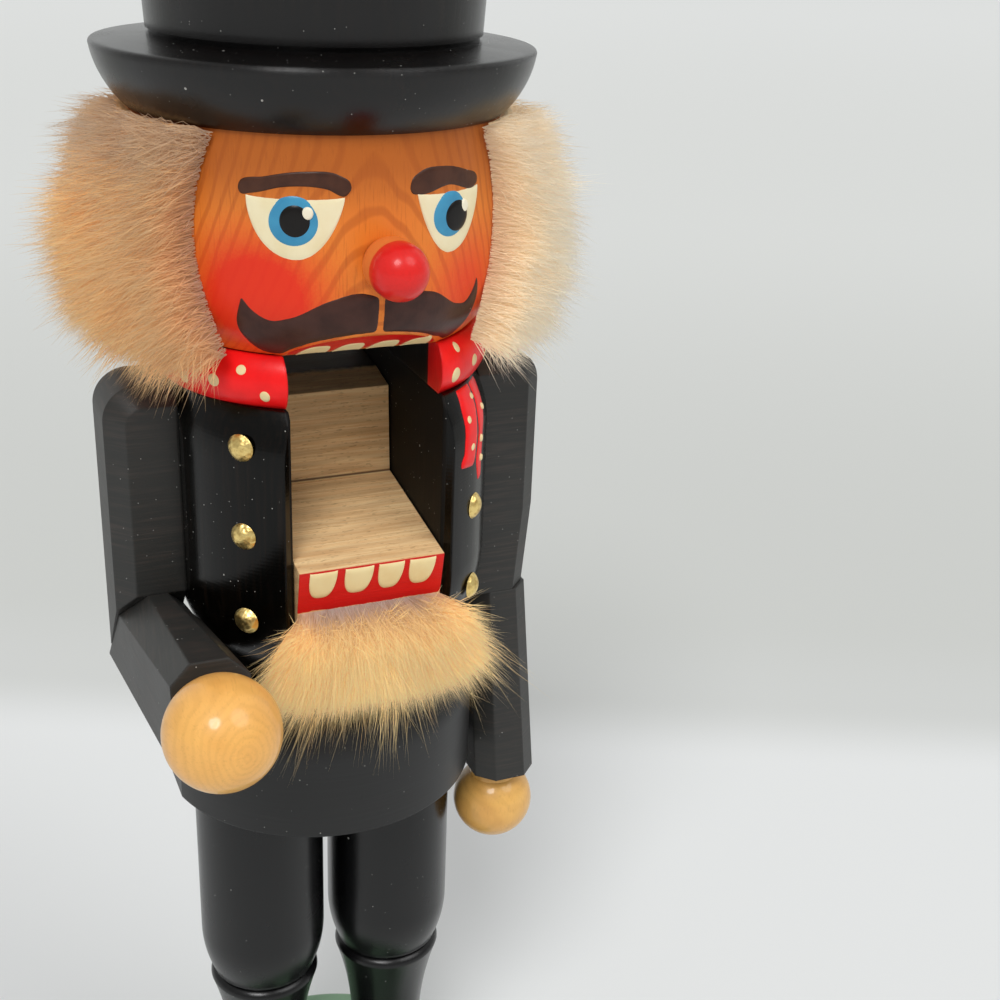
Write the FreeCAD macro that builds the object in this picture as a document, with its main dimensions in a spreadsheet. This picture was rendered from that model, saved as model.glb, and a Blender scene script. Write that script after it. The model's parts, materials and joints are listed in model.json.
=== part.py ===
"""Wooden nutcracker figure, standing, mouth open.

Millimetres. +Z is up, the face looks along -Y and the figure's right arm is at -X.
The origin is the centre of the round base's underside.
"""
import FreeCAD, Part
import math
import os

import Sketcher

V = FreeCAD.Vector

# Driving dimensions: spreadsheet alias, length in mm or angle in degrees, meaning.
DIMENSIONS = [
    ("base_radius", 43.5, "radius of the round base"),
    ("base_height", 15, "thickness of the base"),
    ("base_edge", 2.3, "rounding of the base's upper edge"),
    ("leg_spacing", 35.2, "distance between the two legs' axes"),
    ("boot_height", 57, "height of a boot, sole to knee"),
    ("boot_top_radius", 14.4, "radius of a boot at the knee"),
    ("boot_top_edge", 2.2, "rounding of a boot's upper edge"),
    ("ankle_radius", 9.7, "radius of a boot at the ankle"),
    ("ankle_height", 24, "height of the ankle above the sole"),
    ("sole_radius", 11.6, "radius of a boot at the sole"),
    ("sole_height", 7, "height of the straight part at the sole"),
    ("toe_length", 17, "reach of a shoe toe in front of the boot"),
    ("toe_width", 23, "width of a shoe toe"),
    ("toe_height", 12.5, "height of a shoe toe"),
    ("thigh_height", 65, "height of a thigh, knee to skirt"),
    ("thigh_radius", 16.3, "radius of a thigh"),
    ("knee_height", 14, "height over which a thigh draws in to the knee"),
    ("knee_radius", 13.8, "radius of a thigh at the knee"),
    ("knee_edge", 1.4, "rounding of a thigh's lower edge"),
    ("skirt_radius", 39, "radius of the coat skirt"),
    ("skirt_height", 31, "height of the coat skirt"),
    ("skirt_shoulder", 11, "rounding at the top of the skirt"),
    ("skirt_seat", 37.6, "distance of the skirt's side flats from its middle"),
    ("skirt_shift", 1.6, "how far the skirt's middle stands to the figure's right"),
    ("torso_radius", 36.8, "radius of the coat body"),
    ("torso_height", 75, "height of the coat body"),
    ("torso_forward", 6.2, "how far the coat body stands forward of the head"),
    ("waist_radius", 23, "radius of the coat body at the waist"),
    ("waist_lip", 2, "height of the straight part at the waist"),
    ("belly_height", 33, "height where the coat body reaches its full radius"),
    ("collar_radius", 33, "radius at the top of the coat body"),
    ("collar_height", 12, "height over which the coat body draws in to the collar"),
    ("arm_seat", 35.5, "distance of the coat's side flats from the middle"),
    ("slot_width", 34, "width of the slot for the jaw lever"),
    ("slot_bevel", 2.1, "width of the bevel along the slot's front edges"),
    ("scarf_height", 11, "height of the neckerchief band"),
    ("scarf_foot_inset", 4, "how far the band's lower edge stands in from the head's side"),
    ("scarf_top_inset", 5, "how far the band's upper edge stands in from the head's side"),
    ("scarf_roll_radius", 7.4, "radius of the band's rounded edge"),
    ("head_radius", 40.5, "radius of the head"),
    ("head_height", 46.1, "height of the head"),
    ("head_foot_radius", 34.5, "radius at the bottom of the head"),
    ("head_crown_radius", 39.5, "radius at the top of the head"),
    ("chin_round", 14, "height over which the head draws in at the bottom"),
    ("crown_round", 12.1, "height over which the head draws in at the top"),
    ("lip_start", 30, "distance in front of the axis where the lip's slope starts"),
    ("lip_slope", 33, "slope of the lip's cut above level"),
    ("nose_height", 21.5, "height of the nose above the bottom of the head"),
    ("nose_offset", 1.6, "distance of the nose from the head's middle plane"),
    ("nose_root_radius", 3.4, "radius of the nose's root"),
    ("nose_ball_radius", 5.9, "radius of the ball on the nose"),
    ("nose_length", 3.7, "length of the straight stretch behind the nose's ball"),
    ("nose_reach", 10.2, "distance of the ball's middle from the nose's seat"),
    ("nose_seat", 1.0, "depth of the flat seat under the nose"),
    ("nose_seat_fit", 1.1, "room round the nose's root on its seat"),
    ("brim_foot_radius", 40.2, "lower radius of the hat's brim"),
    ("brim_radius", 47, "radius of the brim's edge"),
    ("brim_rise", 12.4, "height of the brim's edge above its bottom"),
    ("brim_height", 14.5, "height of the brim at the crown"),
    ("brim_bead", 0.8, "step from the brim's edge to its upper face"),
    ("brim_sweep", 21, "radius of the brim's bowl-shaped side"),
    ("crown_neck_radius", 34.7, "radius of the crown's undercut foot"),
    ("crown_neck_height", 1.1, "height of the crown's undercut foot"),
    ("crown_foot_radius", 35.4, "radius of the crown above its foot"),
    ("crown_top_radius", 38.2, "radius of the crown at the top"),
    ("crown_height", 49.4, "height of the crown"),
    ("crown_edge", 3, "rounding of the crown's upper edge"),
    ("lever_width", 33.3, "width of the jaw lever"),
    ("jaw_opening", 50, "turn of the jaw lever from shut to open"),
    ("pivot_back", 14, "distance of the lever's pin behind the head's axis"),
    ("pivot_height", 57, "height of the lever's pin above the coat body's bottom"),
    ("pin_radius", 2.5, "radius of the lever's pin"),
    ("pin_length", 59, "length of the lever's pin"),
    ("pin_clearance", 0.05, "running clearance round the lever's pin"),
    ("jaw_reach", 47.5, "jaw's upper edge in front of the pin, mouth shut"),
    ("jaw_rise", 29.85, "jaw's upper edge above the pin, mouth shut"),
    ("teeth_reach", 53.3, "lower edge of the teeth in front of the pin, mouth shut"),
    ("teeth_rise", 22.4, "lower edge of the teeth above the pin, mouth shut"),
    ("chin_reach", 55.5, "chin in front of the pin, mouth shut"),
    ("chin_drop", 4, "bottom of the chin below the pin, mouth shut"),
    ("crease_reach", 19.3, "back of the mouth in front of the pin, mouth shut"),
    ("crease_rise", 4.7, "back of the mouth above the pin, mouth shut"),
    ("wall_reach", 2.1, "top of the mouth's wall in front of the pin, mouth shut"),
    ("wall_rise", 17.3, "top of the mouth's wall above the pin, mouth shut"),
    ("hub_reach", 5, "hub's shoulder behind the pin, mouth shut"),
    ("hub_rise", 11.7, "hub's shoulder above the pin, mouth shut"),
    ("belly_reach", 22, "lowest corner of the lever in front of the pin, mouth shut"),
    ("belly_drop", 20, "lowest corner of the lever below the pin, mouth shut"),
    ("stub_length", 18, "distance of the handle's joint from the pin"),
    ("stub_thickness", 18, "thickness of the lever at the handle's joint"),
    ("stub_slope", 34.5, "slope of the lever behind the pin, mouth shut"),
    ("stop_gap", 0.4, "gap left under the chin when the mouth is open"),
    ("handle_width", 22, "width of the lever's handle"),
    ("handle_gap", 1.9, "gap between the skirt and the handle, mouth shut"),
    ("handle_thickness", 11, "thickness of the lever's handle"),
    ("handle_drop", 83, "end of the handle below the pin, mouth shut"),
    ("handle_bend", 22, "bend of the handle below the pin, mouth shut"),
    ("tenon_width", 12, "width of the handle's tenon"),
    ("tenon_length", 9, "length of the handle's tenon"),
    ("tenon_thickness", 8, "thickness of the handle's tenon"),
    ("arm_depth", 22, "depth of an arm, front to back"),
    ("arm_width", 15.5, "width of an arm"),
    ("left_arm_swell", 1.8, "extra width of the left upper arm above the elbow"),
    ("left_arm_taper", 22, "height over which the left upper arm draws in to the elbow"),
    ("arm_drop", 0.5, "drop of the shoulders below the top of the coat body"),
    ("shoulder_round", 8, "rounding of a shoulder"),
    ("arm_chamfer", 4.2, "chamfer of an arm's long edges"),
    ("left_elbow_drop", 63, "left elbow below the top of the coat body"),
    ("left_sleeve_length", 52.2, "length of the left forearm"),
    ("left_sleeve_lean", 7.5, "how far the left wrist stands forward of the elbow"),
    ("left_sleeve_spread", 1.2, "how far the left wrist stands outward of the elbow"),
    ("sleeve_gap", 0.4, "room between a forearm and the coat"),
    ("right_elbow_drop", 62.3, "middle of the right elbow below the top of the coat body"),
    ("right_sleeve_length", 57.5, "length of the right forearm from the elbow's middle"),
    ("right_sleeve_rise", 8.2, "slope of the right forearm above level"),
    ("right_sleeve_turn", 3.6, "how far the right wrist stands inward of the elbow"),
    ("cuff_growth", 1, "growth of a sleeve's width from elbow to wrist"),
    ("right_elbow_extra", 7, "extra depth of the right forearm below, at the elbow"),
    ("right_cuff_extra", 6, "extra depth of the right forearm below, at the wrist"),
    ("right_elbow_chamfer", 7, "chamfer of the right sleeve's edges at the elbow"),
    ("right_hand_radius", 12, "radius of the right hand"),
    ("left_hand_radius", 10.6, "radius of the left hand"),
    ("left_wrist_radius", 6.5, "radius of the left hand's wrist"),
    ("right_hand_reach", 7.8, "middle of the right hand past the end of its sleeve"),
    ("left_hand_reach", 12.7, "middle of the left hand past the end of its sleeve"),
    ("right_hand_drop", 1.5, "middle of the right hand below its sleeve's axis"),
    ("dowel_radius", 3, "radius of the dowels"),
    ("dowel_length", 20, "length of the short dowels"),
    ("dowel_fit", 0.1, "room round a dowel"),
    ("neck_dowel_spread", 27, "distance of a neck dowel from the middle"),
    ("screw_radius", 2, "radius of the base's screws"),
    ("screw_head_radius", 4.2, "radius of a screw's head"),
    ("screw_head_height", 2.6, "height of a screw's head"),
    ("screw_length", 32, "length of the base's screws"),
    ("screw_sink", 1.2, "depth of a screw's head below the underside"),
    ("nail_head_radius", 3.05, "radius of a coat nail's head"),
    ("nail_head_height", 1.6, "height of a coat nail's head"),
    ("nail_shank_radius", 0.8, "radius of a coat nail's shank"),
    ("nail_shank_length", 9, "length of a coat nail's shank"),
    ("nail_fit", 0.05, "room round a coat nail's shank in its hole"),
    ("nail_turn", 46.5, "turn of the coat nails from the front"),
    ("nail_foot_height", 26.4, "height of the lowest coat nails above the coat's bottom"),
    ("nail_pitch", 20.4, "height from one coat nail to the next"),
    ("hair_turn", 47, "turn of the hair's front edge from the face's middle"),
    ("hair_gap", 0.4, "room between the hair and the head"),
    ("hair_thickness", 19.5, "greatest thickness of the hair"),
    ("hair_top_thickness", 4.5, "thickness of the hair under the hat"),
    ("hair_foot_thickness", 9, "thickness of the hair at its lower edge"),
    ("hair_drop", 8.5, "drop of the hair below the bottom of the head"),
    ("hair_swell_height", 22, "height of the thickest hair above the bottom of the head"),
    ("hat_gap", 1, "room between the hair and the hat"),
    ("beard_gap", 0.4, "room between the beard and what lies next to it"),
    ("chin_edge", 3, "height of the slope between the teeth and the chin"),
    ("beard_thickness", 11, "thickness of the beard in front of the coat"),
    ("beard_top_width", 37, "width of the beard below the teeth"),
    ("beard_width", 60, "greatest width of the beard"),
    ("beard_tip_width", 38, "width of the beard at its tips"),
    ("beard_height", 31, "height of the beard"),
    ("beard_swell_height", 17, "height of the widest part above the beard's tips"),
]


class Size:
    """A length that carries its number and its spreadsheet formula together."""

    def __init__(self, number, formula):
        self.number = number
        self.formula = formula

    def __add__(self, other):
        other = as_size(other)
        return Size(self.number + other.number, f"({self.formula} + {other.formula})")

    def __sub__(self, other):
        other = as_size(other)
        return Size(self.number - other.number, f"({self.formula} - {other.formula})")

    def __mul__(self, other):
        other = as_size(other)
        return Size(self.number * other.number, f"({self.formula} * {other.formula})")

    def __truediv__(self, other):
        other = as_size(other)
        return Size(self.number / other.number, f"({self.formula} / {other.formula})")

    def __radd__(self, other):
        return as_size(other) + self

    def __rsub__(self, other):
        return as_size(other) - self

    def __rmul__(self, other):
        return as_size(other) * self

    def __neg__(self):
        return Size(-self.number, f"(-{self.formula})")


def as_size(value):
    """Give a plain number the form of a Size."""
    if isinstance(value, Size):
        return value
    return Size(float(value), f"({value})")


def root(value):
    """Square root."""
    return Size(math.sqrt(value.number), f"sqrt({value.formula})")


def sine(angle):
    """Sine of an angle in degrees."""
    return Size(math.sin(math.radians(angle.number)), f"sin({angle.formula})")


def cosine(angle):
    """Cosine of an angle in degrees."""
    return Size(math.cos(math.radians(angle.number)), f"cos({angle.formula})")


def tangent(angle):
    """Tangent of an angle in degrees."""
    return Size(math.tan(math.radians(angle.number)), f"tan({angle.formula})")


def side(radius, offset):
    """Distance along a flat from its middle to a circle of this radius."""
    return root(radius * radius - offset * offset)


def sweep_radius(across, along):
    """Radius of an arc that starts along one direction and drifts across it."""
    return (across * across + along * along) / (2 * across)


doc = FreeCAD.newDocument("nutcracker")
sheet = doc.addObject("Spreadsheet::Sheet", "Sizes")
S = {}
for row, (alias, number, meaning) in enumerate(DIMENSIONS, start=1):
    sheet.set(f"A{row}", meaning)
    sheet.set(f"B{row}", str(number))
    sheet.setAlias(f"B{row}", alias)
    S[alias] = Size(float(number), f"Sizes.{alias}")
doc.recompute()

ZERO = Size(0.0, "0")
subparts = []

# Heights of the stack above the floor.
z_boot = S["base_height"]
z_thigh = z_boot + S["boot_height"]
z_skirt = z_thigh + S["thigh_height"]
z_torso = z_skirt + S["skirt_height"]
z_scarf = z_torso + S["torso_height"]
z_head = z_scarf + S["scarf_height"]
z_brim = z_head + S["head_height"]
z_crown = z_brim + S["brim_height"]
z_pivot = z_torso + S["pivot_height"]
leg_x = S["leg_spacing"] / 2
hole_radius = S["dowel_radius"] + S["dowel_fit"]
hole_depth = S["dowel_length"] / 2 + S["dowel_fit"]


def bind(thing, prop, value):
    """Bind one property of an object to a Size."""
    thing.setExpression(prop, as_size(value).formula)


def place(thing, x=ZERO, y=ZERO, z=ZERO, axis=None, angle=None):
    """Put an object at a point, turned about one axis."""
    if axis is not None:
        direction = V(*[as_size(part).number for part in axis])
        turn = FreeCAD.Rotation(direction, as_size(angle).number)
        thing.Placement = FreeCAD.Placement(V(0, 0, 0), turn)
        for letter, part in zip("xyz", axis):
            bind(thing, f"Placement.Rotation.Axis.{letter}", part)
        bind(thing, "Placement.Rotation.Angle", angle)
    bind(thing, "Placement.Base.x", x)
    bind(thing, "Placement.Base.y", y)
    bind(thing, "Placement.Base.z", z)


def keep(thing, label):
    """Note a finished sub-part under its name."""
    thing.Label = label
    subparts.append(thing)
    return thing


def new_sketch(body, plane, offset=None):
    """Start a sketch on one of the body's own planes, moved along its normal."""
    sketch = body.newObject("Sketcher::SketchObject", "Outline")
    support = [item for item in body.Origin.OriginFeatures if item.Role == plane][0]
    sketch.AttachmentSupport = (support, [""])
    sketch.MapMode = "FlatFace"
    if offset is not None:
        bind(sketch, "AttachmentOffset.Base.z", offset)
    return sketch


def pin_point(sketch, geometry, end, u, v):
    """Hold one end of a sketch line at named distances from the sketch's origin."""
    for kind, axis, value in (("DistanceX", -2, as_size(u)), ("DistanceY", -1, as_size(v))):
        if value.number == 0 and value.formula in ("0", "(0)"):
            sketch.addConstraint(Sketcher.Constraint("PointOnObject", geometry, end, axis))
            continue
        index = sketch.addConstraint(
            Sketcher.Constraint(kind, -1, 1, geometry, end, value.number))
        name = f"{kind}{index}"
        sketch.renameConstraint(index, name)
        bind(sketch, f"Constraints.{name}", value)


def arc_between(start, end, radius):
    """Arc from start to end: it turns left for a positive radius, right for a negative one."""
    chord = end - start
    half = chord.Length / 2
    normal = V(-chord.y, chord.x, 0).normalize()
    reach = math.sqrt(max(radius * radius - half * half, 0.0))
    centre = (start + end) * 0.5 + normal * math.copysign(reach, radius)
    first, last = (start, end) if radius > 0 else (end, start)
    low = math.atan2(first.y - centre.y, first.x - centre.x)
    high = math.atan2(last.y - centre.y, last.x - centre.x)
    if high <= low:
        high += 2 * math.pi
    return Part.ArcOfCircle(Part.Circle(centre, V(0, 0, 1), abs(radius)), low, high)


def outline(body, plane, path, offset=None):
    """Closed outline on a plane of the body.

    Each corner is (u, v), reached by a straight run, or (u, v, radius), reached by an arc
    that turns left for a positive radius and right for a negative one.
    """
    sketch = new_sketch(body, plane, offset)
    points = [V(as_size(c[0]).number, as_size(c[1]).number, 0) for c in path]
    ends = []
    for index, corner in enumerate(path):
        start, end = points[index - 1], points[index]
        if len(corner) == 2:
            geometry = sketch.addGeometry(Part.LineSegment(start, end), False)
            ends.append((geometry, 1, 2))
            continue
        radius = as_size(corner[2])
        geometry = sketch.addGeometry(arc_between(start, end, radius.number), False)
        ends.append((geometry, 1, 2) if radius.number > 0 else (geometry, 2, 1))
        size = radius if radius.number > 0 else -radius
        index = sketch.addConstraint(Sketcher.Constraint("Radius", geometry, size.number))
        sketch.renameConstraint(index, f"Radius{index}")
        bind(sketch, f"Constraints.Radius{index}", size)
    for index, (geometry, first, last) in enumerate(ends):
        following, begin, _ = ends[(index + 1) % len(ends)]
        sketch.addConstraint(
            Sketcher.Constraint("Coincident", geometry, last, following, begin))
    for (geometry, first, last), corner in zip(ends, path):
        pin_point(sketch, geometry, last, corner[0], corner[1])
    return sketch


def circle(body, plane, u, v, radius, offset=None):
    """Circle on a plane of the body."""
    sketch = new_sketch(body, plane, offset)
    centre = V(as_size(u).number, as_size(v).number, 0)
    geometry = sketch.addGeometry(Part.Circle(centre, V(0, 0, 1), radius.number), False)
    pin_point(sketch, geometry, 3, u, v)
    index = sketch.addConstraint(Sketcher.Constraint("Radius", geometry, radius.number))
    sketch.renameConstraint(index, "Radius")
    bind(sketch, "Constraints.Radius", radius)
    return sketch


def rectangle(body, plane, low_u, high_u, low_v, high_v, offset=None):
    """Rectangle between two named distances each way."""
    corners = [(low_u, low_v), (high_u, low_v), (high_u, high_v), (low_u, high_v)]
    return outline(body, plane, corners, offset)


def turned(name, path):
    """A piece turned about its upright axis, from an outline of (radius, height)."""
    body = doc.addObject("PartDesign::Body", name)
    revolution = body.newObject("PartDesign::Revolution", "Turning")
    revolution.Profile = outline(body, "XZ_Plane", path)
    revolution.ReferenceAxis = (revolution.Profile[0], ["V_Axis"])
    revolution.Angle = 360
    return body


def pad(body, sketch, length, both_sides=False):
    """Give a sketch its thickness."""
    feature = body.newObject("PartDesign::Pad", "Block")
    feature.Profile = sketch
    feature.Midplane = both_sides
    bind(feature, "Length", length)
    return feature


def pocket(body, sketch, length=None, both_sides=False, upward=False):
    """Cut a sketch out of the body, right through it where no length is given."""
    feature = body.newObject("PartDesign::Pocket", "Cut")
    feature.Profile = sketch
    feature.Midplane = both_sides
    feature.Reversed = upward
    if length is None:
        feature.Type = "ThroughAll"
    else:
        bind(feature, "Length", length)
    return feature


def drill(body, x, y, z, radius, depth, upward):
    """Upright blind hole that starts at height z in the body."""
    return pocket(body, circle(body, "XY_Plane", x, y, radius, z), depth, upward=upward)


def chamfer(body, size, chosen):
    """Chamfer the edges of the body's last feature that the test picks."""
    doc.recompute()
    base = body.Tip
    names = [f"Edge{i}" for i, edge in enumerate(base.Shape.Edges, start=1) if chosen(edge)]
    feature = body.newObject("PartDesign::Chamfer", "Bevel")
    feature.Base = (base, names)
    bind(feature, "Size", size)
    return feature


def cylinder(name, radius, height, x=ZERO, y=ZERO, z=ZERO, axis=None, angle=None):
    """Plain round bar along its own Z axis."""
    bar = doc.addObject("Part::Cylinder", name)
    bind(bar, "Radius", radius)
    bind(bar, "Height", height)
    place(bar, x, y, z, axis, angle)
    return bar


def group(name, solids):
    """Several separate solids under one name."""
    compound = doc.addObject("Part::Compound", name)
    compound.Links = solids
    return keep(compound, name)


def make_base():
    """Round base with a rounded upper edge and a counterbored hole under each boot."""
    edge = S["base_edge"]
    flat = S["base_radius"] - edge
    body = turned("base_plate", [
        (ZERO, ZERO), (S["base_radius"], ZERO), (S["base_radius"], S["base_height"] - edge),
        (flat, S["base_height"], edge), (ZERO, S["base_height"])])
    head_room = S["screw_head_height"] + S["screw_sink"]
    for x in (-leg_x, leg_x):
        shank_hole = circle(body, "XY_Plane", x, ZERO, S["screw_radius"] + S["dowel_fit"])
        pocket(body, shank_hole, upward=True)
        drill(body, x, ZERO, ZERO, S["screw_head_radius"] + S["dowel_fit"], head_room, True)
    keep(body, "base_plate")

    screws = []
    for tag, x in (("right", -leg_x), ("left", leg_x)):
        head = cylinder(f"{tag}_screw_head", S["screw_head_radius"], S["screw_head_height"],
                        x, ZERO, S["screw_sink"])
        shank = cylinder(f"{tag}_screw_shank", S["screw_radius"], S["screw_length"],
                         x, ZERO, S["screw_sink"])
        screw = doc.addObject("Part::Fuse", f"{tag}_screw")
        screw.Base = head
        screw.Tool = shank
        screws.append(screw)
    group("base_screws", screws)


def make_leg(tag, x):
    """One leg: boot with a narrow ankle, shoe toe, and thigh rounded in to the knee."""
    rim = S["boot_height"] - S["boot_top_edge"]
    boot = turned(f"{tag}_boot", [
        (ZERO, ZERO), (S["sole_radius"], ZERO), (S["sole_radius"], S["sole_height"]),
        (S["ankle_radius"], S["ankle_height"], -sweep_radius(
            S["sole_radius"] - S["ankle_radius"], S["ankle_height"] - S["sole_height"])),
        (S["boot_top_radius"], rim, -sweep_radius(
            S["boot_top_radius"] - S["ankle_radius"], rim - S["ankle_height"])),
        (S["boot_top_radius"] - S["boot_top_edge"], S["boot_height"], S["boot_top_edge"]),
        (ZERO, S["boot_height"])])
    screw_depth = S["screw_length"] + S["screw_sink"] - S["base_height"] + S["dowel_fit"]
    drill(boot, ZERO, ZERO, ZERO, S["screw_radius"] + S["dowel_fit"], screw_depth, True)
    drill(boot, ZERO, ZERO, S["boot_height"], hole_radius, hole_depth, False)
    place(boot, x, ZERO, z_boot)
    keep(boot, f"{tag}_boot")

    bulge = doc.addObject("Part::Ellipsoid", f"{tag}_toe_bulge")
    bind(bulge, "Radius1", S["toe_height"])
    bind(bulge, "Radius2", S["toe_width"] / 2)
    bind(bulge, "Radius3", S["sole_radius"] + S["toe_length"])
    bulge.Angle1 = 0
    place(bulge, x, ZERO, z_boot)
    trim = doc.addObject("Part::Box", f"{tag}_toe_trim")
    bind(trim, "Length", 2 * S["toe_width"])
    bind(trim, "Width", 2 * (S["sole_radius"] + S["toe_length"]))
    bind(trim, "Height", 2 * S["toe_height"])
    place(trim, x - S["toe_width"], ZERO, z_boot - S["toe_height"] / 2)
    seat = cylinder(f"{tag}_toe_seat", S["sole_radius"], 2 * S["toe_height"], x, ZERO,
                    z_boot - S["toe_height"] / 2)
    half = doc.addObject("Part::Cut", f"{tag}_toe_half")
    half.Base = bulge
    half.Tool = trim
    toe = doc.addObject("Part::Cut", f"{tag}_shoe_toe")
    toe.Base = half
    toe.Tool = seat
    keep(toe, f"{tag}_shoe_toe")

    thigh = turned(f"{tag}_thigh", [
        (ZERO, ZERO), (S["knee_radius"] - S["knee_edge"], ZERO),
        (S["knee_radius"], S["knee_edge"], S["knee_edge"]),
        (S["thigh_radius"], S["knee_height"], sweep_radius(
            S["thigh_radius"] - S["knee_radius"], S["knee_height"] - S["knee_edge"])),
        (S["thigh_radius"], S["thigh_height"]), (ZERO, S["thigh_height"])])
    drill(thigh, ZERO, ZERO, ZERO, hole_radius, hole_depth, True)
    drill(thigh, ZERO, ZERO, S["thigh_height"], hole_radius, hole_depth, False)
    place(thigh, x, ZERO, z_thigh)
    keep(thigh, f"{tag}_thigh")


def make_skirt():
    """Coat skirt with a rounded top and a flat on each side for the sleeves."""
    round_in = S["skirt_shoulder"]
    shift = S["skirt_shift"]
    wall = S["skirt_height"] - round_in
    body = turned("coat_skirt", [
        (ZERO, ZERO), (S["skirt_radius"], ZERO), (S["skirt_radius"], wall),
        (S["skirt_radius"] - round_in, S["skirt_height"], round_in),
        (ZERO, S["skirt_height"])])
    far = 2 * S["skirt_radius"]
    for low, high in ((S["skirt_seat"], far), (-far, -S["skirt_seat"])):
        flat = rectangle(body, "XY_Plane", low, high, -far, far)
        pocket(body, flat, upward=True)
    for x in (-leg_x, leg_x):
        drill(body, x + shift, ZERO, ZERO, hole_radius, hole_depth, True)
    drill(body, shift, ZERO, S["skirt_height"], hole_radius, hole_depth, False)
    place(body, -shift, ZERO, z_skirt)
    keep(body, "coat_skirt")


def opened(reach, rise):
    """Turn a point, given ahead of and above the pin with the mouth shut, to the open mouth."""
    c = cosine(S["jaw_opening"])
    s = sine(S["jaw_opening"])
    return -reach * c - rise * s, -reach * s + rise * c


chin_bottom = opened(S["chin_reach"], -S["chin_drop"])[1]
slot_floor = S["pivot_height"] + chin_bottom - S["stop_gap"]


def make_torso():
    """Coat body: turned, slotted for the jaw lever, with flats where the arms are glued."""
    top = S["torso_height"]
    wall = top - S["collar_height"]
    body = turned("torso_block", [
        (ZERO, ZERO), (S["waist_radius"], ZERO), (S["waist_radius"], S["waist_lip"]),
        (S["torso_radius"], S["belly_height"], sweep_radius(
            S["torso_radius"] - S["waist_radius"], S["belly_height"] - S["waist_lip"])),
        (S["torso_radius"], wall),
        (S["collar_radius"], top, sweep_radius(
            S["torso_radius"] - S["collar_radius"], S["collar_height"])),
        (ZERO, top)])
    far = 2 * S["torso_radius"]
    half = S["slot_width"] / 2
    slot = rectangle(body, "XZ_Plane", -half, half, slot_floor, 2 * top)
    pocket(body, slot, both_sides=True)
    bevel_y = side(S["torso_radius"], half + S["slot_bevel"]) - S["slot_bevel"]
    for across in (1, -1):
        wedge = [(across * half, -bevel_y), (across * (half + far), -bevel_y - far),
                 (across * half, -bevel_y - far)]
        cut = outline(body, "XY_Plane", wedge, slot_floor)
        pocket(body, cut, 2 * top, upward=True)
    for low, high in ((S["arm_seat"], far), (-far, -S["arm_seat"])):
        pocket(body, rectangle(body, "XY_Plane", low, high, -far, far), upward=True)
    pin_y = S["pivot_back"] + S["torso_forward"]
    bore = circle(body, "YZ_Plane", pin_y, S["pivot_height"], S["pin_radius"])
    pocket(body, bore, both_sides=True)
    middle = S["torso_forward"]
    drill(body, ZERO, middle, ZERO, hole_radius, hole_depth, True)
    for x in (-S["neck_dowel_spread"], S["neck_dowel_spread"]):
        drill(body, x, middle, top, hole_radius, hole_depth, False)
    shoulder_z = top - S["arm_drop"] - S["arm_depth"]
    for low, flip in ((S["arm_seat"], False), (-S["arm_seat"], True)):
        hole = circle(body, "YZ_Plane", middle, shoulder_z, hole_radius, low)
        pocket(body, hole, hole_depth - S["dowel_radius"], upward=flip)
    place(body, ZERO, -S["torso_forward"], z_torso)
    depth = S["nail_shank_length"] + S["dowel_fit"]
    holes = doc.addObject("Part::Compound", "nail_holes")
    holes.Links = [
        cylinder(f"{tag}_nail_hole_{row}", S["nail_shank_radius"] + S["nail_fit"],
                 depth, *nail_place(turn, row, -depth))
        for tag, turn, row in nail_spots()]
    drilled = doc.addObject("Part::Cut", "torso_drilled")
    drilled.Base = body
    drilled.Tool = holes
    keep(drilled, "torso")


def nail_spots():
    """Side, turn from the front and row of each nail: three on the right and two on the left."""
    sides = (("right", -S["nail_turn"], 3), ("left", S["nail_turn"], 2))
    return [(tag, turn, row) for tag, turn, rows in sides for row in range(rows)]


def nail_place(turn, row, out):
    """Point out from the coat's side at a nail's turn and row, and the turn to lay a bar outward."""
    reach = S["torso_radius"] + out
    return (reach * sine(turn), -S["torso_forward"] - reach * cosine(turn),
            z_torso + S["nail_foot_height"] + row * S["nail_pitch"],
            (cosine(turn), sine(turn), ZERO), 90)


def make_nails():
    """Domed brass nails driven into the coat's front."""
    nails = []
    for tag, turn, row in nail_spots():
        head = S["nail_head_radius"]
        rise = S["nail_head_height"]
        nail = turned(f"{tag}_nail_{row + 1}", [
            (ZERO, -S["nail_shank_length"]),
            (S["nail_shank_radius"], -S["nail_shank_length"]),
            (S["nail_shank_radius"], ZERO), (head, ZERO),
            (ZERO, rise, sweep_radius(rise, head))])
        place(nail, *nail_place(turn, row, ZERO))
        nails.append(nail)
    group("brass_nails", nails)


def make_neckerchief():
    """Neckerchief's band in two halves, one each side of the slot."""
    foot = S["head_radius"] - S["scarf_foot_inset"]
    top = S["head_radius"] - S["scarf_top_inset"]
    band = [
        (ZERO, ZERO), (foot, ZERO), (top, S["scarf_height"], S["scarf_roll_radius"]),
        (ZERO, S["scarf_height"])]
    far = 2 * foot
    half = S["slot_width"] / 2
    for tag, low, high, dowel in (
            ("right", -half, far, -S["neck_dowel_spread"]),
            ("left", -far, half, S["neck_dowel_spread"])):
        body = turned(f"{tag}_scarf_band", band)
        pocket(body, rectangle(body, "XY_Plane", low, high, -far, far), upward=True)
        hole = circle(body, "XY_Plane", dowel, ZERO, hole_radius)
        pocket(body, hole, upward=True)
        place(body, ZERO, ZERO, z_scarf)
        keep(body, f"{tag}_scarf_band")


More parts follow.
